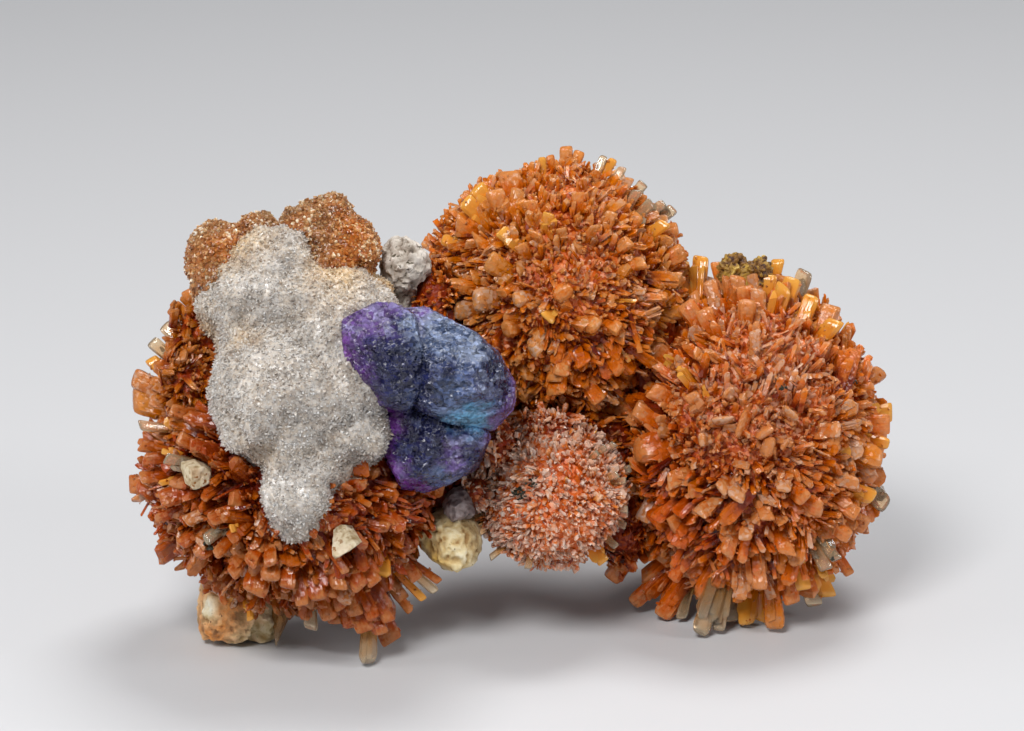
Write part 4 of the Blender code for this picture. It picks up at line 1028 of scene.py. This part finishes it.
def grow_ball(ball, seed, counts, scale):
    rng = np.random.default_rng(seed)
    centre, radii = CENTRE[ball], RADII[ball]
    mass, large, small, amber, glass = Heap(), Heap(), Heap(), Heap(), Heap()

    d, faces = ICO[5]
    out = centre + d * reach_at(d, radii)[:, None]
    fine, hue, dust, shift = patchwork(out, ball)
    p = centre + (out - centre) * (mass_share(out, ball, fine) * relief(out))[:, None]
    # The mass keeps a low along, so it takes the dark red-brown end of the ramp: painted shade in the crevices between
    # the crystals, lighter under sugar.
    mass.add(p, np.zeros((0, 4)), faces, 0.34 + 0.22 * np.clip(fine, 0, 1) + 0.10 * vnoise(p, 1.3, 3), 0.5 + shift, np.clip(hue, 0, 1), np.clip(dust, 0, 1) * 0.7)

    # the large blades that the front view shows
    tips, wide = [], []
    for across, down, width, thick, look, end, *deep in HEROES[ball]:
        tip = in_view(across, down, deep[0]) if deep else tip_on_ball(across, down, centre, radii)
        full = np.linalg.norm(tip - centre)
        axis = unit(fan(tip[None], ball) + 0.28 * swirl(tip[None]) + rng.normal(0, 0.06, 3))
        f, h, u, t = (float(k[0]) for k in patchwork(tip[None], ball))
        h = {"o": 0.55 * h, "y": 0.95, "p": 0.5, "g": 0.5}[look] + rng.normal(0, 0.05)
        u = {"o": 0.35 * u, "y": 0.2, "p": 0.85, "g": 0.1}[look]
        t = 0.60 + t + (0.12 if look == "p" else 0) + rng.normal(0, 0.06)
        look3 = tuple(np.clip([k], 0, 1) for k in (t, h, u))
        length, a = np.array([0.36 * full]), np.array([width * 0.5])
        b = a * thick * 0.85
        roll = broadside(axis) + rng.normal(0, 0.30, 1)
        heap = {"g": glass, "y": amber if width < 2.35 else large}.get(look, large)
        fingers(heap, tip[None] - axis * length, axis, roll, length, a * 0.9, b, end, rng, look3)
        if width > 1.25:
            parts = int(2 + width) if width < 2.3 else 2
            sheaves(heap, tip[None] - axis * 0.02 * full, axis, roll, length * 0.98, a * 1.12, b * 1.25, parts, rng, look3, main=False, spread=0.02)
        if look != "g":
            dusting(small, tip[None], axis, roll, length, a, b, int(5 + 5 * width), rng, look3)
        tips.append(tip)
        wide.append(width)
    hero_dirs = unit(np.array(tips) - centre)
    wide = np.array(wide)

    def clearance(d):
        return (np.arccos(np.clip(d @ hero_dirs.T, -1, 1)) * radii.mean() / wide[None]).min(1)

    for kind in ("coarse", "mid", "low", "sugar"):
        count = counts[kind]
        d = fibonacci(count, rng)
        out = centre + d * reach_at(d, radii)[:, None]
        fine, hue, dust, shift = patchwork(out, ball)
        ground = mass_share(out, ball, fine)
        if kind == "coarse":
            share = rng.uniform(0.885, 0.99, count) - 0.03 * np.clip(fine, 0, 1)
        elif kind == "mid":
            share = np.maximum(rng.uniform(0.84, 0.97, count), ground + 0.035)
        elif kind == "low":
            share = ground + rng.uniform(0.03, 0.12, count)
        else:
            share = ground + rng.uniform(0.018, 0.065, count)
        tips = centre + (out - centre) * (share * relief(out))[:, None]
        dice = rng.uniform(0, 1, count)
        if ball == "small":
            fine = 0.30 * fine
        keep = {"coarse": fine < 0.28 + 0.45 * dice, "mid": fine < 0.38 + 0.7 * dice, "low": fine < 0.65 + 0.6 * dice, "sugar": dice < 0.12 + 0.95 * np.clip(fine, 0, 1) ** 1.2}[kind]
        back = (unit(tips - centre) @ FWD > 0.25) | (tips[:, 2] < 0.25 * centre[2])
        keep &= ~back | (rng.uniform(0, 1, count) < 0.55)
        keep &= free(tips, ball, 0.45 if kind == "coarse" else 0.25 if kind == "mid" else 0.1) & (clearance(d) > {"coarse": 0.62, "mid": 0.48, "low": 0.40, "sugar": 0.45}[kind])
        d, tips, fine, hue, dust, shift = d[keep], tips[keep], fine[keep], hue[keep], dust[keep], shift[keep]
        wide_back = 1 + 0.35 * back[keep]
        n = len(d)
        axis = unit(fan(tips, ball) + swirl(tips) * {"coarse": 0.8, "mid": 1.0, "low": 1.0, "sugar": 1.0}[kind] + rng.normal(0, {"coarse": 0.10, "mid": 0.20, "low": 0.30, "sugar": 0.45}[kind], (n, 3)))
        axis = upright(axis, fan(tips, ball), 0.45 if kind == "sugar" else 0.68)
        full = np.linalg.norm(tips - centre, axis=-1)
        roll = broadside(axis) + rng.normal(0, 0.7, n)
        tone = rng.normal(0.50, 0.21, n) + shift
        h = hue + rng.normal(0, 0.16, n)
        u = dust * rng.uniform(0.3, 1.2, n) + rng.normal(0, 0.08, n)
        pale = rng.uniform(0, 1, n) < 0.05 + 0.12 * dust
        tone, u = np.where(pale, tone + 0.35, tone), np.where(pale, 1.0, u)
        look = tuple(np.clip(k, 0, 1) for k in (tone, h, u))
        if kind == "coarse":
            length = full * rng.uniform(0.27, 0.34, n)
            a = scale * wide_back * ((0.28 + 0.66 * rng.uniform(0, 1, n) ** 2.0) if ball == "small" else (0.31 + 0.80 * rng.uniform(0, 1, n) ** 1.7))
            b = a * rng.uniform(0.28, 0.62, n)
            glassy = rng.uniform(0, 1, n) < 0.03
            for heap, pick in ((large, ~glassy), (amber, glassy)):
                sheaves(heap, tips[pick], axis[pick], roll[pick], length[pick], a[pick], b[pick], 3, rng, tuple(k[pick] for k in look))
            dusting(small, tips, axis, roll, length, a, b, 4, rng, look)
        elif kind == "mid":
            length = full * rng.uniform(0.19, 0.26, n)
            a = scale * wide_back * (0.17 + 0.27 * rng.uniform(0, 1, n) ** 1.3)
            sheaves(small if ball == "small" else large, tips, axis, roll, length, a, a * rng.uniform(0.32, 0.75, n), rng.integers(1, 3, n), rng, look, main=False)
        elif kind == "low":
            length = full * rng.uniform(0.12, 0.17, n)
            a = scale * wide_back * rng.uniform(0.12, 0.30, n)
            blades(small, tips - axis * length[:, None], axis, roll, length, a, a * rng.uniform(0.4, 0.9, n), rng, look)
        else:
            length = full * rng.uniform(0.05, 0.09, n)
            r = rng.uniform(0.10, 0.22, n) * (0.8 if ball == "small" else 1.0)
            grains(small, tips - axis * length[:, None], axis, roll, length, r, rng, (np.clip(look[0] + 0.1, 0, 1), look[1], np.clip(look[2] + 0.2 * dust, 0, 1)), n=3, root=0.40)
    return mass, large, small, amber, glass


def tuft(at, radii, counts, scale, hue, dust, tone, seed, low=0.62):
    """A small mass of crystals that fills the join between two balls."""
    rng = np.random.default_rng(seed)
    centre, radii = in_view(*at), np.array(radii, float)
    mass, large, small = Heap(), Heap(), Heap()
    d, faces = ICO[4]
    # The mass of a tuft has a low along and tone, so it is dark red-brown: painted shade in the crevices between its
    # crystals.
    mass.add(centre + d * (reach_at(d, radii) * (low + 0.05 * vnoise(d, 3.0, seed)))[:, None], np.zeros((0, 4)), faces, 0.35, 0.4, hue, dust * 0.4)
    for kind, count in counts.items():
        d = fibonacci(count, rng)
        reach = reach_at(d, radii)
        tips = centre + d * (reach * rng.uniform(*{"coarse": (0.85, 1.05), "mid": (0.75, 1.0), "sugar": (0.68, 0.86)}[kind], count))[:, None]
        keep = (depth_in(tips, HARD, 0.1) > 1) & (tips[:, 2] > 0.2)
        d, tips, reach = d[keep], tips[keep], reach[keep]
        n = len(d)
        axis = upright(unit(d + 0.8 * swirl(tips) + rng.normal(0, 0.22, (n, 3))), d)
        look = (np.clip(rng.normal(0.5 + tone, 0.2, n), 0, 1), np.clip(rng.normal(hue, 0.15, n), 0, 1), np.clip(rng.normal(dust, 0.25, n), 0, 1))
        roll = broadside(axis) + rng.normal(0, 0.8, n)
        if kind == "sugar":
            r = rng.uniform(0.10, 0.24, n)
            grains(small, tips - axis * (5 * r)[:, None], axis, roll, 5 * r, r, rng, look, n=3, root=0.35)
        else:
            a = scale * rng.uniform(0.35, 1.0, n) * (1.0 if kind == "coarse" else 0.6)
            sheaves(large, tips, axis, roll, 0.45 * reach, a, a * rng.uniform(0.30, 0.65, n), 2, rng, look, main=kind == "coarse")
    return mass, large, small


PLAN = {  # seed, numbers of crystals, their size, material
    "left": (11, dict(coarse=700, mid=1650, low=1900, sugar=6500), 1.18, M_LEFT),
    "top": (23, dict(coarse=660, mid=1600, low=1900, sugar=6400), 1.10, M_TOP),
    "right": (37, dict(coarse=760, mid=1850, low=2200, sugar=8000), 1.18, M_RIGHT),
    "small": (41, dict(coarse=420, mid=1000, low=1000, sugar=2600), 0.80, M_SMALL),
}


def settle(piece, slot, *nodes):
    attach(piece, "root")
    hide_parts(*(nodes or (slot,)))


for ball, (seed, counts, scale, material) in PLAN.items():
    slot = "creedite_ball_" + ball
    mass, large, small, amber, glass = grow_ball(ball, seed, counts, scale)
    if ball == "left":
        # the clear prism that stands on the ground, and the pointed blade beside it
        one = [np.random.default_rng(5), tuple(np.array([k]) for k in (0.4, 0.4, 0.1))]
        for (across, down), lift, wide, pointed in (((368, 664), (0.2, 2.4, 6.5), 1.15, False), ((274, 647), (1.2, 2.4, 5.0), 1.05, True)):
            tip = on_ground(across, down, 0.1)
            root = tip + np.array(lift)
            axis = unit(tip - root)[None]
            length, wide = np.array([np.linalg.norm(tip - root)]), np.array([wide])
            if pointed:
                grains(glass, root[None], axis, np.array([0.4]), length, wide, *one, n=6, sharp=3.0)
            else:
                fingers(glass, root[None], axis, np.array([0.4]), length, wide, wide * 0.7, 0.5, *one)
    for heap, what, mat, angle in ((mass, "mass", M_MASS, 50), (large, "large_blades", material, 30), (small, "fine_blades", material, None),
                                   (amber, "amber_blades", M_AMBER, 30), (glass, "clear_blades", M_GLASS, 30)):
        if heap.n:
            settle(make(heap, ball + "_" + what, mat, angle), slot)
    print(ball, "triangles", mass.faces, large.faces, small.faces, amber.faces, glass.faces)


# The last value, tone, is negative for the tufts in the joins between the balls and behind the chip and the fluorite:
# painted shade there.
for k, (name, slot, material, at, radii, counts, scale, hue, dust, tone) in enumerate([
    ("between_top_and_small", "creedite_ball_top", M_TOP, (556, 432, 6.0), (9.0, 6.5, 5.6), dict(coarse=60, mid=170, sugar=300), 0.75, 0.35, 0.35, -0.05),
    ("between_top_and_right", "creedite_ball_top", M_TOP, (613, 440, 9.0), (4.6, 7.0, 7.0), dict(coarse=45, mid=130, sugar=200), 0.75, 0.15, 0.20, -0.20),
    ("between_small_and_right", "creedite_ball_right", M_RIGHT, (622, 520, 6.5), (4.4, 6.0, 6.8), dict(coarse=45, mid=120, sugar=150), 0.75, 0.10, 0.15, -0.25),
    ("above_small", "creedite_ball_small", M_SMALL, (500, 446, -1.5), (3.3, 4.2, 3.8), dict(coarse=26, mid=100, sugar=200), 0.55, 0.45, 0.75, 0.10),
    ("over_small", "creedite_ball_small", M_SMALL, (545, 436, 0.0), (5.4, 4.4, 3.6), dict(coarse=36, mid=130, sugar=250), 0.55, 0.40, 0.60, 0.05),
    ("behind_chip", "creedite_ball_left", M_LEFT, (446, 500, 0.5), (3.4, 4.5, 5.2), dict(coarse=34, mid=80, sugar=100), 0.7, 0.10, 0.15, -0.25),
    ("behind_fluorite", "creedite_ball_top", M_TOP, (470, 425, 4.0), (5.5, 5.0, 6.5), dict(coarse=45, mid=110, sugar=150), 0.75, 0.25, 0.20, -0.15),
    ("beside_grey_stone", "creedite_ball_top", M_TOP, (433, 296, 4.5), (3.2, 4.6, 4.4), dict(coarse=30, mid=90, sugar=120), 0.75, 0.30, 0.40, -0.05),
    ("beside_chip", "creedite_ball_small", M_SMALL, (478, 492, -3.0), (2.0, 2.6, 2.8), dict(coarse=16, mid=60, sugar=80), 0.60, 0.50, 1.0, 0.40),
    ("beside_druse_high", "creedite_ball_left", M_LEFT, (204, 336, -1.0), (4.2, 4.6, 5.4), dict(coarse=50, mid=150, sugar=240), 0.85, 0.75, 0.35, 0.02),
    ("beside_druse_low", "creedite_ball_left", M_LEFT, (192, 384, -4.0), (4.4, 4.6, 5.4), dict(coarse=50, mid=150, sugar=240), 0.85, 0.65, 0.30, 0.02),
    ("high_between_top_and_right", "creedite_ball_right", M_RIGHT, (644, 372, 10.0), (4.0, 6.0, 6.0), dict(coarse=40, mid=110, sugar=120), 0.75, 0.40, 0.30, -0.10),
]):
    for heap, what, mat, angle in zip(tuft(at, radii, counts, scale, hue, dust, tone, 200 + k), ("mass", "blades", "sugar"), (M_MASS, material, material), (50, 30, None)):
        settle(make(heap, name + "_" + what, mat, angle), slot)


# ---- druse and knobs ---------------------------------------------------------------------------------------------
def crust(slot, specs, material, seed, voxel, count, cell, size, stain, wave=0.35, keep=None, smooth=6, grow=-0.25, lean=0.35, sides=4, tall=(1.6, 2.8)):
    """A lumpy mass set with small pointed prisms of the given number of sides; stain gives the hue at each place."""
    rng = np.random.default_rng(seed)
    v, q = merged(ellipsoids(specs, grow), voxel)
    v = relax(v, q, smooth)
    n = normals(v, q)
    v = v + n * (wave * fbm(v, 0.35, seed, 3) + 0.40 * np.abs(vnoise(v, 0.75, seed + 9)) + 0.12 * vnoise(v, 1.6, seed + 4))[:, None]
    heap = Heap()
    heap.add(v, q, np.zeros((0, 3)), 0.15, 0.75 + 0.25 * vnoise(v, 0.5, seed + 5), stain(v))
    p, pn = on_surface(v, q, count, cell, rng)
    ok = p[:, 2] > 0.2
    if keep is not None:
        ok &= keep(p)
    p, pn = p[ok], pn[ok]
    k = len(p)
    points = Heap()
    axis = unit(pn + rng.normal(0, lean, (k, 3)))
    r = size * rng.uniform(0.5, 1.2, k)
    length = r * rng.uniform(tall[0], tall[1], k)
    tone = np.clip(0.5 + 0.30 * vnoise(p, 0.45, seed + 6) + rng.normal(0, 0.30, k), 0, 1)
    grains(points, p - axis * (0.9 * r)[:, None], axis, rng.uniform(0, 6.28, k), length, r, rng, (tone, np.clip(stain(p), 0, 1), np.zeros(k)), n=sides, sharp=1.4, root=0.3)
    print(slot, "triangles", heap.faces, points.faces)
    settle(make(heap, slot + "_mass", material, 60), slot)
    settle(make(points, slot + "_points", material), slot)


def spots(points, places):
    """The strongest of some round patches: (across, down, depth, radius in mm, value)."""
    out = np.zeros(len(points))
    for across, down, depth, wide, value in places:
        c = in_view(across, down, depth)
        out = np.maximum(out, value * np.exp(-(((points - c) / wide) ** 2).sum(-1)))
    return out


def near_ball(p, ball, share):
    return (((p - CENTRE[ball]) / (RADII[ball] * share)) ** 2).sum(-1) < 1


def quartz_stain(p):
    s = spots(p, [(215, 330, -4, 3.0, 0.6), (240, 250, -3, 3.5, 0.75), (335, 275, -5, 3.4, 0.8), (385, 300, 0, 3.0, 0.85), (375, 270, 0, 3.0, 0.9),
                  (245, 345, -10, 2.2, 0.45), (262, 440, -14, 2.4, 0.4), (360, 480, -12, 2.0, 0.5), (345, 300, -8, 2.6, 0.35), (300, 510, -14, 2.2, 0.2)])
    return s + 0.06 + 0.10 * vnoise(p, 0.7, 61)


crust("quartz_crust", QUARTZ_SHAPE, M_QUARTZ, 51, 0.50, 34000, 0.325, 0.14, quartz_stain, keep=lambda p: ~near_ball(p, "left", 0.84), smooth=20, grow=0.0, wave=0.90, lean=0.50, sides=3, tall=(2.0, 4.2))
crust("sugar_knob_left", KNOB_LEFT, M_KNOB, 52, 0.42, 7000, 0.43, 0.28,
      lambda p: 0.22 + spots(p, [(221, 236, -4.5, 2.2, 0.8), (228, 250, -5, 2.0, 1.0), (200, 265, -4, 2.6, 0.4), (250, 232, -1, 2.0, 0.3)]) + 0.16 * vnoise(p, 0.6, 62), wave=0.75, sides=5, tall=(1.4, 2.3), smooth=10, lean=0.5)
crust("sugar_knob_right", KNOB_RIGHT, M_KNOB, 53, 0.42, 9000, 0.43, 0.28,
      lambda p: 0.12 + spots(p, [(360, 235, -2, 3.8, 0.95), (350, 262, -3, 3.0, 0.9), (300, 225, -2, 2.2, 0.5), (330, 200, 1, 2.4, 0.45), (376, 262, 1, 3.0, 0.8)]) + 0.16 * vnoise(p, 0.6, 63), wave=0.95, sides=5, tall=(1.4, 2.3), smooth=10, lean=0.5)


# ---- fluorite ----------------------------------------------------------------------------------------------------
FLUORITE = [
    ([(344, 322), (375, 305), (394, 305), (412, 315), (424, 350), (424, 388), (408, 412), (375, 403), (361, 396), (350, 373), (344, 344)], -4.0, -12.0, -16.2, 0.70),
    ([(402, 312), (424, 309), (445, 319), (477, 335), (497, 354), (513, 384), (511, 408), (492, 428), (464, 427), (444, 422), (416, 408), (398, 394), (392, 350)],
     -1.0, -10.5, -15.8, 0.60),
    ([(371, 404), (392, 386), (430, 384), (470, 408), (488, 436), (481, 453), (475, 468), (450, 481), (426, 491), (402, 488), (389, 463), (375, 427)], -4.0, -9.5, -14.2, 0.66),
]
# where each of the five colours lies: (across, down, depth, radius in mm, strength, colour, frost); the high frost on
# the upper steel faces is partly the sheen of the light from above, painted as a highlight
VIOLET, LILAC, NAVY, STEEL, AQUA = (0.15, 0.032, 0.25), (0.17, 0.085, 0.31), (0.013, 0.016, 0.070), (0.10, 0.15, 0.30), (0.15, 0.40, 0.64)
ZONES = [
    (352, 345, -12, 2.6, 1.6, VIOLET, 0.35), (360, 318, -13, 2.2, 1.4, LILAC, 0.6), (372, 330, -14, 2.0, 1.0, LILAC, 0.7),
    (385, 362, -15, 2.8, 2.0, NAVY, 0.1), (365, 378, -14, 1.8, 1.3, VIOLET, 0.25), (392, 340, -15, 2.4, 1.2, NAVY, 0.4),
    (402, 385, -14, 1.5, 1.3, STEEL, 0.1), (425, 372, -15.5, 3.0, 1.9, NAVY, 0.30), (435, 335, -14, 3.0, 1.2, STEEL, 0.95),
    (465, 345, -13, 2.8, 1.2, STEEL, 0.95), (410, 318, -11, 2.2, 1.2, LILAC, 0.6), (452, 388, -15, 2.2, 1.4, STEEL, 0.3),
    (468, 413, -13.5, 1.9, 1.9, AQUA, 0.25), (485, 370, -13, 2.4, 1.4, NAVY, 0.5), (503, 388, -11, 2.0, 1.5, LILAC, 0.5),
    (495, 412, -10.5, 2.2, 1.2, LILAC, 0.4), (385, 425, -12, 2.2, 1.5, VIOLET, 0.2), (420, 440, -14, 3.2, 1.9, NAVY, 0.35),
    (408, 482, -10.5, 1.9, 1.8, VIOLET, 0.3), (435, 475, -12, 1.7, 1.2, STEEL, 0.2), (450, 462, -13.5, 1.5, 1.1, LILAC, 0.8),
    (470, 445, -10, 2.2, 1.3, NAVY, 0.4), (392, 460, -11, 1.9, 1.4, VIOLET, 0.3), (430, 380, -5, 4.5, 0.8, NAVY, 0.3),
]


FACES = [  # flat faces of each crystal: direction, distance in mm from its heart
    [((-0.20, -0.60, 0.75), 3.9), ((-0.55, -0.83, 0.0), 3.3), ((0.25, -0.96, -0.05), 4.3), ((-0.6, -0.6, -0.5), 3.6)],
    [((0.05, -0.60, 0.80), 4.6), ((-0.12, -0.97, -0.12), 4.9), ((0.75, -0.62, 0.10), 5.2), ((0.15, -0.78, -0.60), 4.6), ((-0.75, -0.62, 0.05), 4.9)],
    [((-0.45, -0.88, 0.10), 3.7), ((0.28, -0.94, -0.18), 3.9), ((0.10, -0.62, -0.78), 3.9), ((0.2, -0.7, 0.68), 4.2)],
]


def fluorite():
    heap = Heap()
    for k, (outline, back, widest, front, share) in enumerate(FLUORITE):
        o = np.array(outline, float)
        mid = o.mean(0)
        rings = []
        for depth, scale in ((back, 0.80), ((back + widest) / 2, 1.0), (widest, 1.03), ((widest + front) / 2 - 1.0, 0.97), (front - 0.8, share * 1.15)):
            rings.append(np.array([in_view(*(mid + (p - mid) * scale), depth) for p in o]))
        n = len(o)
        v = np.concatenate(rings + [rings[0].mean(0)[None], rings[-1].mean(0)[None]])
        faces = []
        for r in range(len(rings) - 1):
            faces += [[r * n + i, r * n + (i + 1) % n, (r + 1) * n + (i + 1) % n, (r + 1) * n + i] for i in range(n)]
        low, high, last = len(rings) * n, len(rings) * n + 1, (len(rings) - 1) * n
        faces += [[(i + 1) % n, i, low] for i in range(n)] + [[last + i, last + (i + 1) % n, high] for i in range(n)]
        v, q = merged([(v, faces)], 0.235)
        v = relax(v, q, 3)
        heart = in_view(*mid, (widest + front) / 2 + 2.0)
        for way, far in FACES[k]:
            way = unit(np.array(way))
            v = v - way * (np.maximum((v - heart) @ way - far, 0) * 0.94)[:, None]
        v = relax(v, q, 1)
        nm = normals(v, q)
        # etched steps, then ridges and pits
        step = fbm(v, 0.30, 71 + k, 2) * 2.6 + v @ np.array([0.16, -0.05, 0.22])
        edge = step - np.floor(step)
        terrace = np.clip(edge * 7, 0, 1) - edge
        ridge = 1 - np.abs(vnoise(v, 1.4, 75 + k)) * 2
        fine = 1 - np.abs(vnoise(v @ np.array([[0.8, 0.3, 0], [-0.3, 0.8, 0.2], [0, -0.4, 1.3]]), 2.8, 76)) * 2
        v = v + nm * (0.17 * terrace + 0.12 * vnoise(v, 0.5, 74 + k) + 0.05 * ridge + 0.045 * fine)[:, None]
        heap.add(v, q, np.zeros((0, 3)), 0.5, 0.5, 0.5)
    piece = make(heap, "fluorite_crystals", M_FLUORITE, 22)
    v = np.concatenate(heap.v)
    total, colour, frost = np.full(len(v), 0.02), np.full((len(v), 3), 0.02) * np.array([0.06, 0.05, 0.18]), np.full(len(v), 0.02) * 0.4
    wob = np.stack([fbm(v, 0.7, 81 + k, 4) for k in range(3)], -1) * 1.0
    for across, down, depth, wide, strength, c, f in ZONES:
        w = strength * np.exp(-1.5 * (((v + wob - in_view(across, down, depth)) / wide) ** 2).sum(-1)) ** 1.3
        total, colour, frost = total + w, colour + w[:, None] * np.array(c), frost + w * f
    colour = np.concatenate([colour / total[:, None], np.ones((len(v), 1))], -1).astype(np.float32)
    mesh = piece.data
    mesh.attributes.new("zone", "FLOAT_COLOR", "POINT").data.foreach_set("color", colour.ravel())
    mesh.attributes.new("frost", "FLOAT", "POINT").data.foreach_set("value", np.clip(frost / total, 0, 1).astype(np.float32))
    print("fluorite triangles", heap.faces)
    settle(piece, "fluorite")


fluorite()


# ---- stones ------------------------------------------------------------------------------------------------------
def stone(slot, specs, material, seed, voxel, facets, rough, fine, stain=None, tone=None, cut=(0.66, 0.90)):
    """A broken lump: some flat faces, then weathering and pits."""
    rng = np.random.default_rng(seed)
    v, q = merged(ellipsoids(specs, 0.0), voxel)
    v = relax(v, q, 2)
    for spec in specs:
        c, r = in_view(*spec[:3]), np.array(spec[3:])
        for _ in range(facets):
            n = unit(rng.normal(0, 1, 3))
            h = rng.uniform(*cut) * np.linalg.norm(n * r)
            near = (((v - c) / r) ** 2).sum(-1) < 1.3
            v = v - n * (np.maximum((v - c) @ n - h, 0) * near * 0.95)[:, None]
    n = normals(v, q)
    f = fbm(v, 1.1 * fine, seed, 4)
    pit = np.maximum(vnoise(v, 1.7 * fine, seed + 3) - 0.25, 0)
    v = v + n * (rough * f - 1.3 * rough * pit)[:, None]
    heap = Heap()
    # The tone is lighter on the raised parts and darker in the pits.
    heap.add(v, q, np.zeros((0, 3)), 0.5, np.clip((0.55 if tone is None else tone(v)) + 0.25 * f - 0.7 * pit, 0, 1), 0.0 if stain is None else np.clip(stain(v), 0, 1))
    piece = make(heap, slot + "_stone", material, 40)
    print(slot, "triangles", heap.faces)
    settle(piece, slot)


# The grey stone is darker towards the bottom, below a height of 31 mm.
stone("grey_matrix_stone", GREY_SHAPE, M_GREY, 91, 0.26, 9, 0.30, 1.5, tone=lambda v: 0.70 - 0.35 * np.clip((31.0 - v[:, 2]) / 5, 0, 1))
stone("cream_matrix_stone", CREAM, M_CREAM, 92, 0.19, 8, 0.22, 1.2, stain=lambda v: spots(v, [(436, 562, -6, 1.8, 0.9), (428, 552, -5.5, 1.4, 0.6)]))
stone("grey_quartz_chip", CHIP, M_GREYQ, 93, 0.13, 9, 0.10, 1.8)
stone("stained_matrix_stone", STAINED + [(240, 610, -1.6, 3.0, 3.5, 3.7)], M_STAINED, 94, 0.215, 5, 0.20, 1.1,
      stain=lambda v: 0.30 + spots(v, [(232, 612, -4, 3.0, 0.75), (214, 624, -3, 2.4, 0.7), (215, 590, -3, 2.8, 0.8), (245, 594, -3, 3.0, 0.8)]) - spots(v, [(206, 606, -4, 1.2, 1.2), (258, 622, -3, 2.2, 0.7)]),
      tone=lambda v: 0.5 + spots(v, [(206, 604, -4, 1.4, 0.5)]))
stone("cream_chip_left", [(195, 473, -12.0, 1.65, 2.6, 2.2)], M_CHIP, 95, 0.13, 9, 0.06, 1.8, cut=(0.40, 0.62), stain=lambda v: spots(v, [(198, 475, -14, 0.8, 0.75)]))
stone("cream_chip_low", [(345, 539, -14.2, 2.0, 2.5, 2.4)], M_CHIP, 96, 0.13, 9, 0.05, 1.6, cut=(0.36, 0.56), stain=lambda v: spots(v, [(345, 526, -16, 0.9, 0.6)]))
stone("ochre_crust", OCHRE, M_OCHRE, 97, 0.135, 4, 0.42, 1.8)


# ---- black and dark grains ---------------------------------------------------------------------------------------
def specks(name, slot, places, seed):
    """Angular dark grains: (across, down, ball, spread in points, how many, size in mm)."""
    rng = np.random.default_rng(seed)
    d, faces = ICO[1]
    heap = Heap()
    for across, down, ball, spread, count, size in places:
        for _ in range(count):
            r = spread * rng.uniform(0, 1) ** 0.6
            t = rng.uniform(0, 6.28)
            p = tip_on_ball(across + r * math.cos(t), down + r * math.sin(t) * 0.8, CENTRE[ball], RADII[ball])
            p = CENTRE[ball] + (p - CENTRE[ball]) * rng.uniform(0.955, 0.995)
            s = size * rng.uniform(0.5, 1.2)
            heap.add(p + d * s * rng.uniform(0.6, 1.25, (12, 1)) * rng.uniform(0.6, 1.2, 3), np.zeros((0, 4)), faces, 0.5, rng.uniform(0, 1), 0.5)
    settle(make(heap, name, M_DARK), slot)


specks("right_dark_grains", "creedite_ball_right", [(785, 385, "right", 4, 7, 0.26), (837, 560, "right", 5, 6, 0.28), (861, 380, "right", 3, 3, 0.22)], 101)
specks("small_dark_grains", "creedite_ball_small", [(518, 494, "small", 8, 34, 0.21), (532, 482, "small", 7, 16, 0.17)], 102)
specks("left_dark_grains", "creedite_ball_left", [(206, 546, "left", 6, 8, 0.28)], 103)
